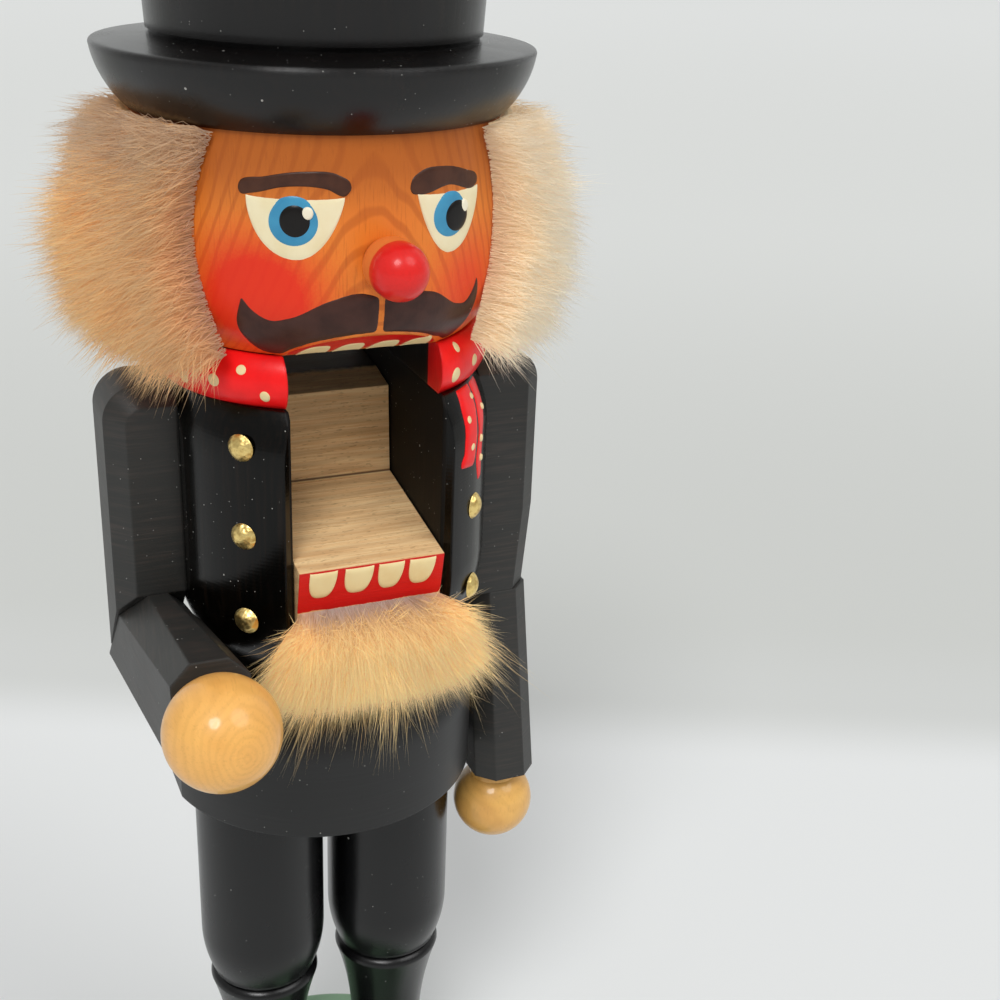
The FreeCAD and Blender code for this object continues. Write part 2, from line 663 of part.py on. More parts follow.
def make_head():
    """Head rounded at both ends, with the lip's slope, and the nose on its flat seat."""
    foot = S["head_radius"] - S["head_foot_radius"]
    crown = S["head_radius"] - S["head_crown_radius"]
    body = turned("head", [
        (ZERO, ZERO), (S["head_foot_radius"], ZERO),
        (S["head_radius"], S["chin_round"], sweep_radius(foot, S["chin_round"])),
        (S["head_radius"], S["head_height"] - S["crown_round"]),
        (S["head_crown_radius"], S["head_height"], sweep_radius(crown, S["crown_round"])),
        (ZERO, S["head_height"])])
    far = 2 * S["head_radius"]
    lip = outline(body, "YZ_Plane", [
        (-S["lip_start"], ZERO), (-far, (far - S["lip_start"]) * tangent(S["lip_slope"])),
        (-far, -far), (-S["lip_start"], -far)])
    pocket(body, lip, both_sides=True)
    seat = S["head_radius"] - S["nose_seat"]
    nose_x = S["nose_offset"]
    recess = circle(body, "XZ_Plane", nose_x, S["nose_height"],
                    S["nose_root_radius"] + S["nose_seat_fit"], seat)
    pocket(body, recess, S["head_radius"], upward=True)
    peg_hole = circle(body, "XZ_Plane", nose_x, S["nose_height"], hole_radius, seat)
    pocket(body, peg_hole, hole_depth)
    for x in (-S["neck_dowel_spread"], S["neck_dowel_spread"]):
        drill(body, x, ZERO, ZERO, hole_radius, hole_depth, True)
    drill(body, ZERO, ZERO, S["head_height"], hole_radius, hole_depth, False)
    place(body, ZERO, ZERO, z_head)
    keep(body, "head")

    ball = S["nose_ball_radius"]
    widest = S["nose_reach"] - S["nose_length"]
    nose = turned("nose", [
        (ZERO, -S["dowel_length"] / 2), (S["dowel_radius"], -S["dowel_length"] / 2),
        (S["dowel_radius"], ZERO), (S["nose_root_radius"], ZERO),
        (ball, widest, sweep_radius(ball - S["nose_root_radius"], widest)),
        (ball, S["nose_reach"]),
        (ZERO, S["nose_reach"] + ball, ball)])
    place(nose, nose_x, -seat, z_head + S["nose_height"], (1, 0, 0), 90)
    keep(nose, "nose")


def make_hat():
    """Bowl-shaped brim, and a crown that widens upwards from its undercut foot."""
    brim = turned("hat_brim", [
        (ZERO, ZERO), (S["brim_foot_radius"], ZERO),
        (S["brim_radius"], S["brim_rise"], S["brim_sweep"]),
        (S["brim_radius"] - S["brim_bead"], S["brim_rise"] + S["brim_bead"], S["brim_bead"]),
        (S["crown_neck_radius"], S["brim_height"]), (ZERO, S["brim_height"])])
    drill(brim, ZERO, ZERO, ZERO, hole_radius, hole_depth, True)
    place(brim, ZERO, ZERO, z_brim)
    keep(brim, "hat_brim")

    edge = S["crown_edge"]
    crown = turned("hat_crown", [
        (ZERO, ZERO), (S["crown_neck_radius"], ZERO),
        (S["crown_neck_radius"], S["crown_neck_height"]),
        (S["crown_foot_radius"], S["crown_neck_height"]),
        (S["crown_top_radius"], S["crown_height"] - edge),
        (S["crown_top_radius"] - edge, S["crown_height"], edge), (ZERO, S["crown_height"])])
    place(crown, ZERO, ZERO, z_crown)
    keep(crown, "hat_crown")


def make_lever():
    """Jaw lever and its handle, drawn with the mouth shut and turned open about the pin."""
    along = (cosine(S["stub_slope"]), -sine(S["stub_slope"]))
    up = (sine(S["stub_slope"]), cosine(S["stub_slope"]))
    half = S["stub_thickness"] / 2

    def on_stub(distance, height):
        return (distance * along[0] + height * up[0], distance * along[1] + height * up[1])

    jaw = doc.addObject("PartDesign::Body", "jaw_lever")
    shape = outline(jaw, "YZ_Plane", [
        (-S["jaw_reach"], S["jaw_rise"]), (-S["teeth_reach"], S["teeth_rise"]),
        (-S["chin_reach"], S["teeth_rise"] - S["chin_edge"]),
        (-S["chin_reach"], -S["chin_drop"]),
        (-S["belly_reach"], -S["belly_drop"]), on_stub(S["stub_length"], -half),
        on_stub(S["stub_length"], half), (S["hub_reach"], S["hub_rise"]),
        (-S["wall_reach"], S["wall_rise"]), (-S["crease_reach"], S["crease_rise"])])
    pad(jaw, shape, S["lever_width"], True)
    bore = circle(jaw, "YZ_Plane", ZERO, ZERO, S["pin_radius"] + S["pin_clearance"])
    pocket(jaw, bore, both_sides=True)
    fit = S["dowel_fit"]
    deep = S["stub_length"] - S["tenon_length"] - fit
    thick = S["tenon_thickness"] / 2 + fit
    mortise = outline(jaw, "YZ_Plane", [
        on_stub(deep, -thick), on_stub(2 * S["stub_length"], -thick),
        on_stub(2 * S["stub_length"], thick), on_stub(deep, thick)])
    pocket(jaw, mortise, S["tenon_width"] + 2 * fit, both_sides=True)
    place(jaw, ZERO, S["pivot_back"], z_pivot, (1, 0, 0), S["jaw_opening"])
    keep(jaw, "jaw_lever")

    inner = S["skirt_radius"] + S["handle_gap"] - S["pivot_back"]
    outer = inner + S["handle_thickness"]
    nose_in = S["handle_thickness"] / 2
    handle = doc.addObject("PartDesign::Body", "lever_handle")
    shape = outline(handle, "YZ_Plane", [
        on_stub(S["stub_length"], half),
        on_stub(S["stub_length"], -half),
        (inner, -S["handle_bend"] - S["handle_thickness"]),
        (inner, -S["handle_drop"] + nose_in),
        (inner + nose_in, -S["handle_drop"], nose_in),
        (outer, -S["handle_drop"] + nose_in, nose_in),
        (outer, -S["handle_bend"]),
        on_stub(2 * S["stub_length"], half)])
    pad(handle, shape, S["handle_width"], True)
    tenon_half = S["tenon_thickness"] / 2
    tenon_root = S["stub_length"] + S["tenon_length"] / 4
    tenon = outline(handle, "YZ_Plane", [
        on_stub(S["stub_length"] - S["tenon_length"], -tenon_half),
        on_stub(tenon_root, -tenon_half),
        on_stub(tenon_root, tenon_half),
        on_stub(S["stub_length"] - S["tenon_length"], tenon_half)])
    pad(handle, tenon, S["tenon_width"], True)
    place(handle, ZERO, S["pivot_back"], z_pivot, (1, 0, 0), S["jaw_opening"])
    keep(handle, "lever_handle")

    pin = cylinder("pivot_pin", S["pin_radius"], S["pin_length"], -S["pin_length"] / 2,
                   S["pivot_back"], z_pivot, (0, 1, 0), 90)
    keep(pin, "pivot_pin")


def upper_arm(tag, side_sign, length):
    """Upper arm: a block with a rounded shoulder and chamfered outer edges; the left one draws
    in to its elbow."""
    body = doc.addObject("PartDesign::Body", f"{tag}_arm_block")
    width = S["arm_width"]
    radius = S["shoulder_round"]
    if side_sign > 0:
        wide = width + S["left_arm_swell"]
        path = [(ZERO, ZERO), (ZERO, -length), (width, -length),
                (wide, -length + S["left_arm_taper"]), (wide, -radius),
                (wide - radius, ZERO, radius)]
    else:
        path = [(ZERO, ZERO), (-width + radius, ZERO), (-width, -radius, radius),
                (-width, -length), (ZERO, -length)]
    pad(body, outline(body, "XZ_Plane", path), S["arm_depth"], True)
    bottom = -as_size(length).number

    def chosen(edge):
        centre = edge.CenterOfMass
        start, end = edge.Vertexes[0].Point, edge.Vertexes[-1].Point
        level = abs(start.y - end.y) < 0.01
        return level and side_sign * centre.x > 0.01 and centre.z > bottom + 0.01
    chamfer(body, S["arm_chamfer"], chosen)
    shoulder_z = -S["arm_depth"]
    hole = circle(body, "YZ_Plane", ZERO, shoulder_z, hole_radius)
    pocket(body, hole, hole_depth - S["dowel_radius"], upward=side_sign > 0)
    place(body, side_sign * S["arm_seat"], ZERO, z_scarf - S["arm_drop"])
    return body


def octagon(width, depth, cut, shift_x=ZERO, shift_y=ZERO):
    """Corners of a block's section with its four corners cut off."""
    w = width / 2
    d = depth / 2
    corners = [(w, -d + cut), (w, d - cut), (w - cut, d), (-w + cut, d),
               (-w, d - cut), (-w, -d + cut), (-w + cut, -d), (w - cut, -d)]
    return [(u + shift_x, v + shift_y) for u, v in corners]


def sleeve(name, start_z, length, shift_x, shift_y, elbow_cut, elbow_extra=ZERO, cuff_extra=ZERO):
    """Forearm along its own Z axis, from the elbow to the wrist; extra depth hangs below."""
    body = doc.addObject("PartDesign::Body", name)
    cut = S["arm_chamfer"]
    grown = S["arm_width"] + S["cuff_growth"]
    near = outline(body, "XY_Plane", octagon(
        S["arm_width"], S["arm_depth"] + elbow_extra, elbow_cut, ZERO, -elbow_extra / 2), start_z)
    far = outline(body, "XY_Plane", octagon(
        grown, S["arm_depth"] + cuff_extra, cut, shift_x, shift_y - cuff_extra / 2), length)
    loft = body.newObject("PartDesign::AdditiveLoft", "Sleeve")
    loft.Profile = near
    loft.Sections = [far]
    loft.Ruled = True
    return body


def make_hand(tag, radius, reach, wrist=None):
    """Ball with a peg that goes into the sleeve, and against the sleeve's end a flat or a wrist."""
    peg = S["dowel_length"] / 2
    if wrist:
        seat = [(wrist, ZERO), (wrist, reach - side(radius, wrist))]
    else:
        seat = [(side(radius, reach), ZERO)]
    return turned(f"{tag}_hand", [
        (ZERO, -peg), (S["dowel_radius"], -peg), (S["dowel_radius"], ZERO)] + seat + [
        (radius, reach, radius), (ZERO, reach + radius, radius)])


def make_left_arm():
    """Left arm hanging down: upper arm, forearm and hand."""
    length = S["left_elbow_drop"] - S["arm_drop"]
    arm = upper_arm("left", 1, length)
    middle = S["arm_width"] / 2
    drill(arm, middle, ZERO, -length, hole_radius, hole_depth, True)
    keep(arm, "left_upper_arm")

    spread = S["left_sleeve_spread"]
    lean = S["left_sleeve_lean"]
    x = S["skirt_seat"] - S["skirt_shift"] + S["sleeve_gap"] + middle
    elbow_z = z_scarf - S["left_elbow_drop"]
    forearm = sleeve("left_forearm", ZERO, S["left_sleeve_length"], spread, lean,
                     S["arm_chamfer"])
    offset = S["arm_seat"] + middle - x
    drill(forearm, offset, ZERO, ZERO, hole_radius, hole_depth, True)
    drill(forearm, spread, lean, S["left_sleeve_length"], hole_radius, hole_depth, False)
    place(forearm, x, ZERO, elbow_z, (1, 0, 0), 180)
    keep(forearm, "left_forearm")

    hand = make_hand("left", S["left_hand_radius"], S["left_hand_reach"], S["left_wrist_radius"])
    place(hand, x + spread, -lean, elbow_z - S["left_sleeve_length"], (1, 0, 0), 180)
    keep(hand, "left_hand")


def make_right_arm():
    """Right arm held out in front: its upper arm and forearm meet on a mitre, and the forearm
    ends flush with the upper arm's back."""
    rise = S["right_sleeve_rise"]
    mitre = (90 - rise) / 2
    elbow_z = z_scarf - S["right_elbow_drop"]
    spare = S["arm_depth"]
    x = -S["arm_seat"] - S["arm_width"] / 2
    reach = 3 * S["arm_depth"]

    def mitre_box(name, low):
        box = doc.addObject("Part::Box", name)
        for prop in ("Length", "Width", "Height"):
            bind(box, prop, reach)
        place(box, x - reach / 2, low * cosine(mitre) + reach / 2 * sine(mitre),
              elbow_z + low * sine(mitre) - reach / 2 * cosine(mitre), (1, 0, 0), mitre)
        return box

    def elbow_bar(name, radius, length):
        return cylinder(name, radius, length, x, -length / 2 * cosine(mitre),
                        elbow_z - length / 2 * sine(mitre), (1, 0, 0), mitre - 90)

    arm = upper_arm("right", -1, S["right_elbow_drop"] + spare - S["arm_drop"])
    forearm = sleeve("right_sleeve", -spare, S["right_sleeve_length"],
                     S["right_sleeve_turn"], ZERO, S["right_elbow_chamfer"],
                     S["right_elbow_extra"], S["right_cuff_extra"])
    drill(forearm, S["right_sleeve_turn"], -S["right_hand_drop"],
          S["right_sleeve_length"], hole_radius, hole_depth, False)
    inner = S["arm_width"] / 2 + S["sleeve_gap"]
    far = 2 * S["arm_width"]
    flush = rectangle(forearm, "XY_Plane", inner, far, -far, far, -2 * spare)
    pocket(forearm, flush, 2 * spare + S["torso_radius"] / 2, upward=True)
    sleeve_x = x - S["sleeve_gap"]
    place(forearm, sleeve_x, ZERO, elbow_z, (1, 0, 0), 90 - rise)
    heel = doc.addObject("Part::Box", "elbow_heel")
    for prop in ("Length", "Width", "Height"):
        bind(heel, prop, reach)
    place(heel, x - reach / 2, S["arm_depth"] / 2, elbow_z - reach / 2)
    square = doc.addObject("Part::Cut", "right_sleeve_square")
    square.Base = forearm
    square.Tool = heel
    for name, block, low in (("right_upper_arm", arm, -reach), ("right_forearm", square, ZERO)):
        mitred = doc.addObject("Part::Cut", f"{name}_mitred")
        mitred.Base = block
        mitred.Tool = mitre_box(f"{name}_mitre", low)
        drilled = doc.addObject("Part::Cut", name)
        drilled.Base = mitred
        drilled.Tool = elbow_bar(f"{name}_hole", hole_radius,
                                 S["dowel_length"] + 2 * S["dowel_fit"])
        keep(drilled, name)

    hand = make_hand("right", S["right_hand_radius"], S["right_hand_reach"])
    along = S["right_sleeve_length"]
    drop = S["right_hand_drop"]
    place(hand, sleeve_x + S["right_sleeve_turn"],
          -drop * sine(rise) - along * cosine(rise),
          elbow_z - drop * cosine(rise) + along * sine(rise), (1, 0, 0), 90 - rise)
    keep(hand, "right_hand")
    return elbow_bar("right_elbow_dowel", S["dowel_radius"], S["dowel_length"])


def make_dowels(right_elbow_dowel):
    """Dowels that hold the turned pieces together."""
    radius = S["dowel_radius"]
    length = S["dowel_length"]
    half = length / 2
    legs = []
    for tag, x in (("right", -leg_x), ("left", leg_x)):
        for joint, z in (("knee", z_thigh), ("hip", z_skirt)):
            legs.append(cylinder(f"{tag}_{joint}_dowel", radius, length, x, ZERO, z - half))
    group("leg_dowels", legs)
    keep(cylinder("waist_dowel", radius, length, ZERO, ZERO, z_torso - half), "waist_dowel")
    spread = S["neck_dowel_spread"]
    group("neck_dowels", [
        cylinder(f"{tag}_neck_dowel", radius, length + S["scarf_height"], x, ZERO,
                 z_scarf - half)
        for tag, x in (("right", -spread), ("left", spread))])
    keep(cylinder("hat_dowel", radius, length, ZERO, ZERO, z_brim - half), "hat_dowel")
    short = length - 2 * radius
    shoulder_z = z_scarf - S["arm_drop"] - S["arm_depth"]
    group("shoulder_dowels", [
        cylinder(f"{tag}_shoulder_dowel", radius, short, x - short / 2, ZERO, shoulder_z,
                 (0, 1, 0), 90)
        for tag, x in (("right", -S["arm_seat"]), ("left", S["arm_seat"]))])
    left = cylinder("left_elbow_dowel", radius, length, S["arm_seat"] + S["arm_width"] / 2,
                    ZERO, z_scarf - S["left_elbow_drop"] - half)
    group("elbow_dowels", [left, right_elbow_dowel])


def make_hair():
    """Hair: a strip round the back and sides of the head, thickest at half height."""
    inner = S["head_radius"] + S["hair_gap"]
    swell = S["hair_thickness"]
    foot = S["hair_foot_thickness"]
    rise = S["hair_swell_height"] + S["hair_drop"]
    top = S["head_height"] - S["hat_gap"]
    body = doc.addObject("PartDesign::Body", "hair_fur")
    revolution = body.newObject("PartDesign::Revolution", "Turning")
    revolution.Profile = outline(body, "YZ_Plane", [
        (inner, -S["hair_drop"]), (inner + foot, -S["hair_drop"]),
        (inner + swell, S["hair_swell_height"], sweep_radius(swell - foot, rise)),
        (inner + S["hair_top_thickness"], top, sweep_radius(
            swell - S["hair_top_thickness"], top - S["hair_swell_height"])),
        (inner, top)])
    revolution.ReferenceAxis = (revolution.Profile[0], ["V_Axis"])
    revolution.Midplane = True
    bind(revolution, "Angle", 360 - 2 * S["hair_turn"])
    place(body, ZERO, ZERO, z_head)
    keep(body, "hair_fur")


def make_beard():
    """Beard: a curved pad in front of the coat, with a tongue that meets the chin."""
    tip = S["beard_tip_width"] / 2
    swell = S["beard_width"] / 2
    neck = S["beard_top_width"] / 2
    low = S["beard_swell_height"]
    high = S["beard_height"]
    teeth = opened(S["teeth_reach"], S["teeth_rise"])
    top_z = z_pivot + teeth[1] - S["beard_gap"]
    front = doc.addObject("PartDesign::Body", "beard_front")
    shape = outline(front, "XZ_Plane", [
        (tip, ZERO), (swell, low, sweep_radius(swell - tip, low)),
        (neck, high, sweep_radius(swell - neck, high - low)), (-neck, high),
        (-swell, low, sweep_radius(swell - neck, high - low)),
        (-tip, ZERO, sweep_radius(swell - tip, low))])
    inner = S["torso_radius"] + S["nail_head_height"] + S["beard_gap"]
    outer = inner + S["beard_thickness"]
    pad(front, shape, 2 * outer)
    place(front, ZERO, -S["torso_forward"], top_z - high)
    drum = cylinder("beard_drum", outer, high, ZERO, -S["torso_forward"], top_z - high)
    core = cylinder("beard_core", inner, 3 * high, ZERO, -S["torso_forward"],
                    top_z - 2 * high)
    curved = doc.addObject("Part::Common", "beard_curved")
    curved.Base = front
    curved.Tool = drum
    hollow = doc.addObject("Part::Cut", "beard_hollow")
    hollow.Base = curved
    hollow.Tool = core
    tongue = doc.addObject("PartDesign::Body", "beard_tongue")
    gap = S["beard_gap"]
    face_top = opened(S["chin_reach"] + gap, S["teeth_rise"] - S["chin_edge"])
    face_foot = opened(S["chin_reach"] + gap, -S["chin_drop"] + S["chin_edge"])
    front_y = -inner - S["torso_forward"] - S["pivot_back"] - S["beard_thickness"] / 2
    shape = outline(tongue, "YZ_Plane", [
        face_top, (front_y, face_top[1]), (front_y, face_foot[1]), face_foot])
    pad(tongue, shape, S["slot_width"] - 4 * gap, True)
    place(tongue, ZERO, S["pivot_back"], z_pivot)
    beard = doc.addObject("Part::Fuse", "beard_fur")
    beard.Base = hollow
    beard.Tool = tongue
    keep(beard, "beard_fur")


def check_and_write():
    """Stop on any failed feature or bad solid, then write one file for each sub-part."""
    doc.recompute()
    for item in doc.Objects:
        if "Invalid" in item.State or "Error" in item.State:
            raise RuntimeError(f"{item.Name} ({item.Label}) failed: {item.State}")
    names = [item.Label for item in subparts]
    if len(set(names)) != len(names):
        raise RuntimeError("two sub-parts share a name")
    os.makedirs("parts", exist_ok=True)
    for item in subparts:
        shape = item.Shape
        if shape.isNull() or not shape.isValid() or not shape.Solids:
            raise RuntimeError(f"{item.Label} has no valid solid")
    for item in subparts:
        item.Shape.exportStep(f"parts/{item.Label}.step")
        print(item.Label, len(item.Shape.Solids), round(item.Shape.Volume, 1))


make_base()
make_leg("right", -leg_x)
make_leg("left", leg_x)
make_skirt()
make_torso()
make_nails()
make_neckerchief()
make_head()
make_hat()
make_lever()
make_left_arm()
make_dowels(make_right_arm())
make_hair()
make_beard()
check_and_write()
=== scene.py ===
"""A wooden nutcracker soldier: its fur, its painted face and neckerchief, and every finish.

Lengths are in millimetres until a mesh or a node takes them, then they are times MM.
x runs to the figure's left hand, y to its back and z up, from the floor.
"""

import json
import math

import bmesh
import bpy
import numpy as np
from mathutils import Matrix, Vector


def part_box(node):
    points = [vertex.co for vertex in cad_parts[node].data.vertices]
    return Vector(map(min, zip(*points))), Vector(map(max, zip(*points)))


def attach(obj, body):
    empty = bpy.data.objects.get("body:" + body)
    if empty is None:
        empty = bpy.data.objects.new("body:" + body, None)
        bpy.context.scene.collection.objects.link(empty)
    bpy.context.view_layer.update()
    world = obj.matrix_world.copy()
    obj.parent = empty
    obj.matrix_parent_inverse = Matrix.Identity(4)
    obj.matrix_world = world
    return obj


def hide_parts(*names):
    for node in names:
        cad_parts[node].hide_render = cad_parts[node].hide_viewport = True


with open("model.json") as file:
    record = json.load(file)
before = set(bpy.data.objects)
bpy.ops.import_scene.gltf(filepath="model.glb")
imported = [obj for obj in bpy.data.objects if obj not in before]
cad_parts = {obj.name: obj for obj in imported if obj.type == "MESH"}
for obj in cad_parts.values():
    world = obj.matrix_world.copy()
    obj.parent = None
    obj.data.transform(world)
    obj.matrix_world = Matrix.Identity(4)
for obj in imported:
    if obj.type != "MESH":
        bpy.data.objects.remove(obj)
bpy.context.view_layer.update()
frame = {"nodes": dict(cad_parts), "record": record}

MM = 0.001


# What the solids give.

class Turned:
    """The outside of a turned part, read from its own points: its radius at each height.

    A place on it is across, the length round its widest ring from the front, and up, a height."""

    def __init__(self, node, keep, centre_y=0.0):
        mesh = frame["nodes"][node].data
        points = np.empty(len(mesh.vertices) * 3)
        mesh.vertices.foreach_get("co", points)
        points = points.reshape(-1, 3) / MM
        points = points[keep(points)]
        self.heights, place = np.unique(np.round(points[:, 2], 1), return_inverse=True)
        self.radii = np.zeros(len(self.heights))
        np.maximum.at(self.radii, place, np.hypot(points[:, 0], points[:, 1] - centre_y))
        self.widest = self.radii.max()
        self.centre_y = centre_y

    def radius(self, up):
        return np.interp(up, self.heights, self.radii)

    def place(self, across, up, lift):
        """Point at angle across / widest radius from the front, lift out from the surface."""
        angle = across / self.widest
        reach = self.radius(up) + lift
        return np.stack([reach * np.sin(angle), self.centre_y - reach * np.cos(angle), up + 0 * across], -1)


HEAD_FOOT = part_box("head")[0][2] / MM
COAT_CENTRE_Y = -6.2

# each is read where nothing is cut away from it and nothing stands on it
head = Turned("head", lambda p: (p[:, 1] > 5) & (np.hypot(p[:, 0], p[:, 1]) > 30))
coat = Turned("torso", lambda p: (abs(p[:, 0]) > 19) & (abs(p[:, 0]) < 34.5) & (p[:, 1] < -12),
              COAT_CENTRE_Y)
band = Turned("left_scarf_band",
              lambda p: (p[:, 1] < -5) & (p[:, 0] > 18) & (np.hypot(p[:, 0], p[:, 1]) > 33))

# the sloped cut under the face, on which the upper lip is painted
LIP_START = 30.0
LIP_SLOPE = math.radians(33)
# the lever's front face, on which the lower teeth are painted: its top and foot
JAW_TOP = np.array([-39.4, 207.8])
JAW_FOOT = np.array([-37.0, 196.7])


def on_lip(across, up, lift):
    """Point on the sloped cut: up is the way up the slope from its back edge."""
    c, s = math.cos(LIP_SLOPE), math.sin(LIP_SLOPE)
    return np.stack([across, -LIP_START - up * c - lift * s, HEAD_FOOT + up * s - lift * c], -1)


def on_jaw(across, up, lift):
    """Point on the lever's front face: up is measured from the face's top edge, so it is negative."""
    run = (JAW_TOP - JAW_FOOT) / np.linalg.norm(JAW_TOP - JAW_FOOT)
    y = JAW_TOP[0] + up * run[0] - lift * run[1]
    z = JAW_TOP[1] + up * run[1] + lift * run[0]
    return np.stack([across + 0 * up, y, z], -1)


def on_head(across, up, lift):
    """Point on the head: up is the height above the head's foot."""
    return head.place(across, HEAD_FOOT + up, lift)


# Meshes.

def piece(name, shells, finish, body="root"):
    """One object from closed shells of (points, quads), in millimetres; doubled points are merged."""
    points = np.concatenate([shell[0].reshape(-1, 3) for shell in shells]) * MM
    starts = np.cumsum([0] + [shell[0].reshape(-1, 3).shape[0] for shell in shells])
    quads = np.concatenate([shell[1] + start for shell, start in zip(shells, starts)])
    mesh = bpy.data.meshes.new(name)
    mesh.from_pydata(points, [], quads.tolist())
    work = bmesh.new()
    work.from_mesh(mesh)
    bmesh.ops.remove_doubles(work, verts=work.verts, dist=1e-6)
    bmesh.ops.dissolve_degenerate(work, edges=work.edges, dist=1e-7)
    bmesh.ops.recalc_face_normals(work, faces=work.faces)
    work.to_mesh(mesh)
    work.free()
    mesh.shade_smooth()
    finish_piece(name, mesh, finish, body)


def finish_piece(name, mesh, finish, body, replaces=()):
    """Puts a mesh in the scene with its finish, the body it moves with and the solids it stands for."""
    mesh.materials.append(finish)
    thing = bpy.data.objects.new(name, mesh)
    bpy.context.scene.collection.objects.link(thing)
    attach(thing, body)
    if replaces:
        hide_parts(*replaces)


def grid_quads(rows, columns, round_rows=False, round_columns=False):
    """Quads of a grid of points, closed on itself where it goes round."""
    index = np.arange(rows * columns).reshape(rows, columns)
    if round_rows:
        index = np.vstack([index, index[:1]])
    if round_columns:
        index = np.hstack([index, index[:, :1]])
    return np.stack([index[:-1, :-1], index[:-1, 1:], index[1:, 1:], index[1:, :-1]], -1).reshape(-1, 4)


def smooth_line(points, count):
    """Evenly spaced points on a cubic curve through the given ones, whose slope at each is that
    of its two neighbours."""
    points = np.asarray(points, float)
    step = np.linalg.norm(np.diff(points, axis=0), axis=1)
    knots = np.concatenate([[0], np.cumsum(step)])
    slopes = np.gradient(points, knots, axis=0)
    along = np.linspace(0, knots[-1], count)
    cell = np.clip(np.searchsorted(knots, along, side="right") - 1, 0, len(step) - 1)
    s = ((along - knots[cell]) / step[cell])[:, None]
    span = step[cell][:, None]
    return ((1 + 2 * s) * (1 - s) ** 2 * points[cell] + s * (1 - s) ** 2 * span * slopes[cell]
            + s * s * (3 - 2 * s) * points[cell + 1] + s * s * (s - 1) * span * slopes[cell + 1])


# how far a stroke stands out, how deep paint is sunk, and how finely coats, dabs and bowls are divided
PAINT_LIFT = 0.22
PAINT_SINK = 0.2
COAT_STEPS = 14
DAB_RINGS, DAB_POINTS = 9, 44
BOWL_COLUMNS = 41


def coat_of_paint(place, lower, upper, lift):
    """A closed thin coat between two edges given as (across, up) points, laid on a surface by place.

    Its cross-section goes from the lower edge over the top to the upper edge and back beneath;
    the top is lift high, falls to the edges as 1 - |2t - 1|^8, and the ends close the same way."""
    columns = len(lower)
    t = 0.5 - 0.5 * np.cos(np.pi * np.arange(COAT_STEPS) / (COAT_STEPS - 1))
    s = np.linspace(0, 1, columns)
    rim = (1 - np.abs(2 * t - 1) ** 8)[:, None] * (1 - np.abs(2 * s - 1) ** 24)[None, :]
    flat = lower[None] + (upper - lower)[None] * t[:, None, None]
    over = place(flat[..., 0], flat[..., 1], -PAINT_SINK + (lift + PAINT_SINK) * rim)
    under = place(flat[..., 0], flat[..., 1], np.full(rim.shape, -PAINT_SINK))
    points = np.concatenate([over, under[::-1]])
    return points, grid_quads(2 * COAT_STEPS, columns, round_rows=True)


def dab(place, centre, half, lift, dome=0.0):
    """A closed oval dab: (across / half[0])^2 + (up / half[1])^2 = 1.

    Its top is lift high with a small rounded rim and rises by dome to the middle."""
    turn = np.linspace(0, 2 * np.pi, DAB_POINTS, endpoint=False)
    out = np.sin(0.5 * np.pi * np.arange(DAB_RINGS) / (DAB_RINGS - 1))
    height = -PAINT_SINK + (lift + PAINT_SINK) * (1 - out ** 10) + dome * (1 - out ** 2)
    reach = np.concatenate([out, out[::-1]])[:, None]
    lifts = np.concatenate([height, np.full(DAB_RINGS, -PAINT_SINK)])[:, None] + 0 * turn
    across, up = reach * np.cos(turn) * half[0], reach * np.sin(turn) * half[1]
    return (place(centre[0] + across, centre[1] + up, lifts),
            grid_quads(2 * DAB_RINGS, DAB_POINTS, round_columns=True))


def bowl(left, right, top, depth, square=2.0, outer=0.5, inner=0.5, lean=0.0):
    """Edges of a bowl under a straight top: depth * (1 - |x|^square)^outer or ^inner, x from -1 to 1.

    A negative depth gives an arch over a straight foot. The left half has the outer power."""
    x = np.sin(np.linspace(-np.pi / 2, np.pi / 2, BOWL_COLUMNS))
    drop = depth * (1 - np.abs(x) ** square) ** np.where(x < 0, outer, inner)
    across = (left + right) / 2 + x * (right - left) / 2
    straight = np.stack([across, top + 0 * across], -1)
    curved = np.stack([across + lean * drop, top - drop], -1)
    return (curved, straight) if depth > 0 else (straight, curved)


# Shader maths.

def paint(colour):
    """Red, green and blue as a screen shows them, from 0 to 255, made linear."""
    parts = np.array(colour) / 255
    linear = np.where(parts <= 0.04045, parts / 12.92, ((parts + 0.055) / 1.055) ** 2.4)
    return (*linear.tolist(), 1.0)


def deeper(colour, part):
    """A screen colour with only a part of its light."""
    return tuple(part * value for value in colour)


class Amount:
    """A number that varies over a surface; arithmetic on it adds Math nodes to its finish."""

    def __init__(self, finish, socket):
        self.finish, self.socket = finish, socket

    def math(self, operation, *terms, limited=False):
        node = self.finish.node("Math", dict(operation=operation, use_clamp=limited),
                                dict(enumerate(terms)))
        return Amount(self.finish, node.outputs[0])

    def __add__(self, other):
        return self.math("ADD", self, other)

    __radd__ = __add__

    def __sub__(self, other):
        return self.math("SUBTRACT", self, other)

    def __rsub__(self, other):
        return self.math("SUBTRACT", other, self)

    def __mul__(self, other):
        return self.math("MULTIPLY", self, other)

    __rmul__ = __mul__

    def __truediv__(self, other):
        return self.math("DIVIDE", self, other)

    def __abs__(self):
        return self.math("ABSOLUTE", self)

    def waves(self, length):
        """sin(2 pi this / length)."""
        return self.math("SINE", self * (2 * math.pi / length))

    def root(self):
        return self.math("SQRT", self)

    def fall(self):
        """e to the power of minus this."""
        return self.math("EXPONENT", -1 * self)

    def limited(self):
        return self.math("ADD", self, 0, limited=True)

    def rise(self, low, high):
        """0 below low, 1 above high and smooth between."""
        node = self.finish.node("MapRange", dict(interpolation_type="SMOOTHSTEP"),
                                {"Value": self, "From Min": low, "From Max": high})
        return Amount(self.finish, node.outputs["Result"])


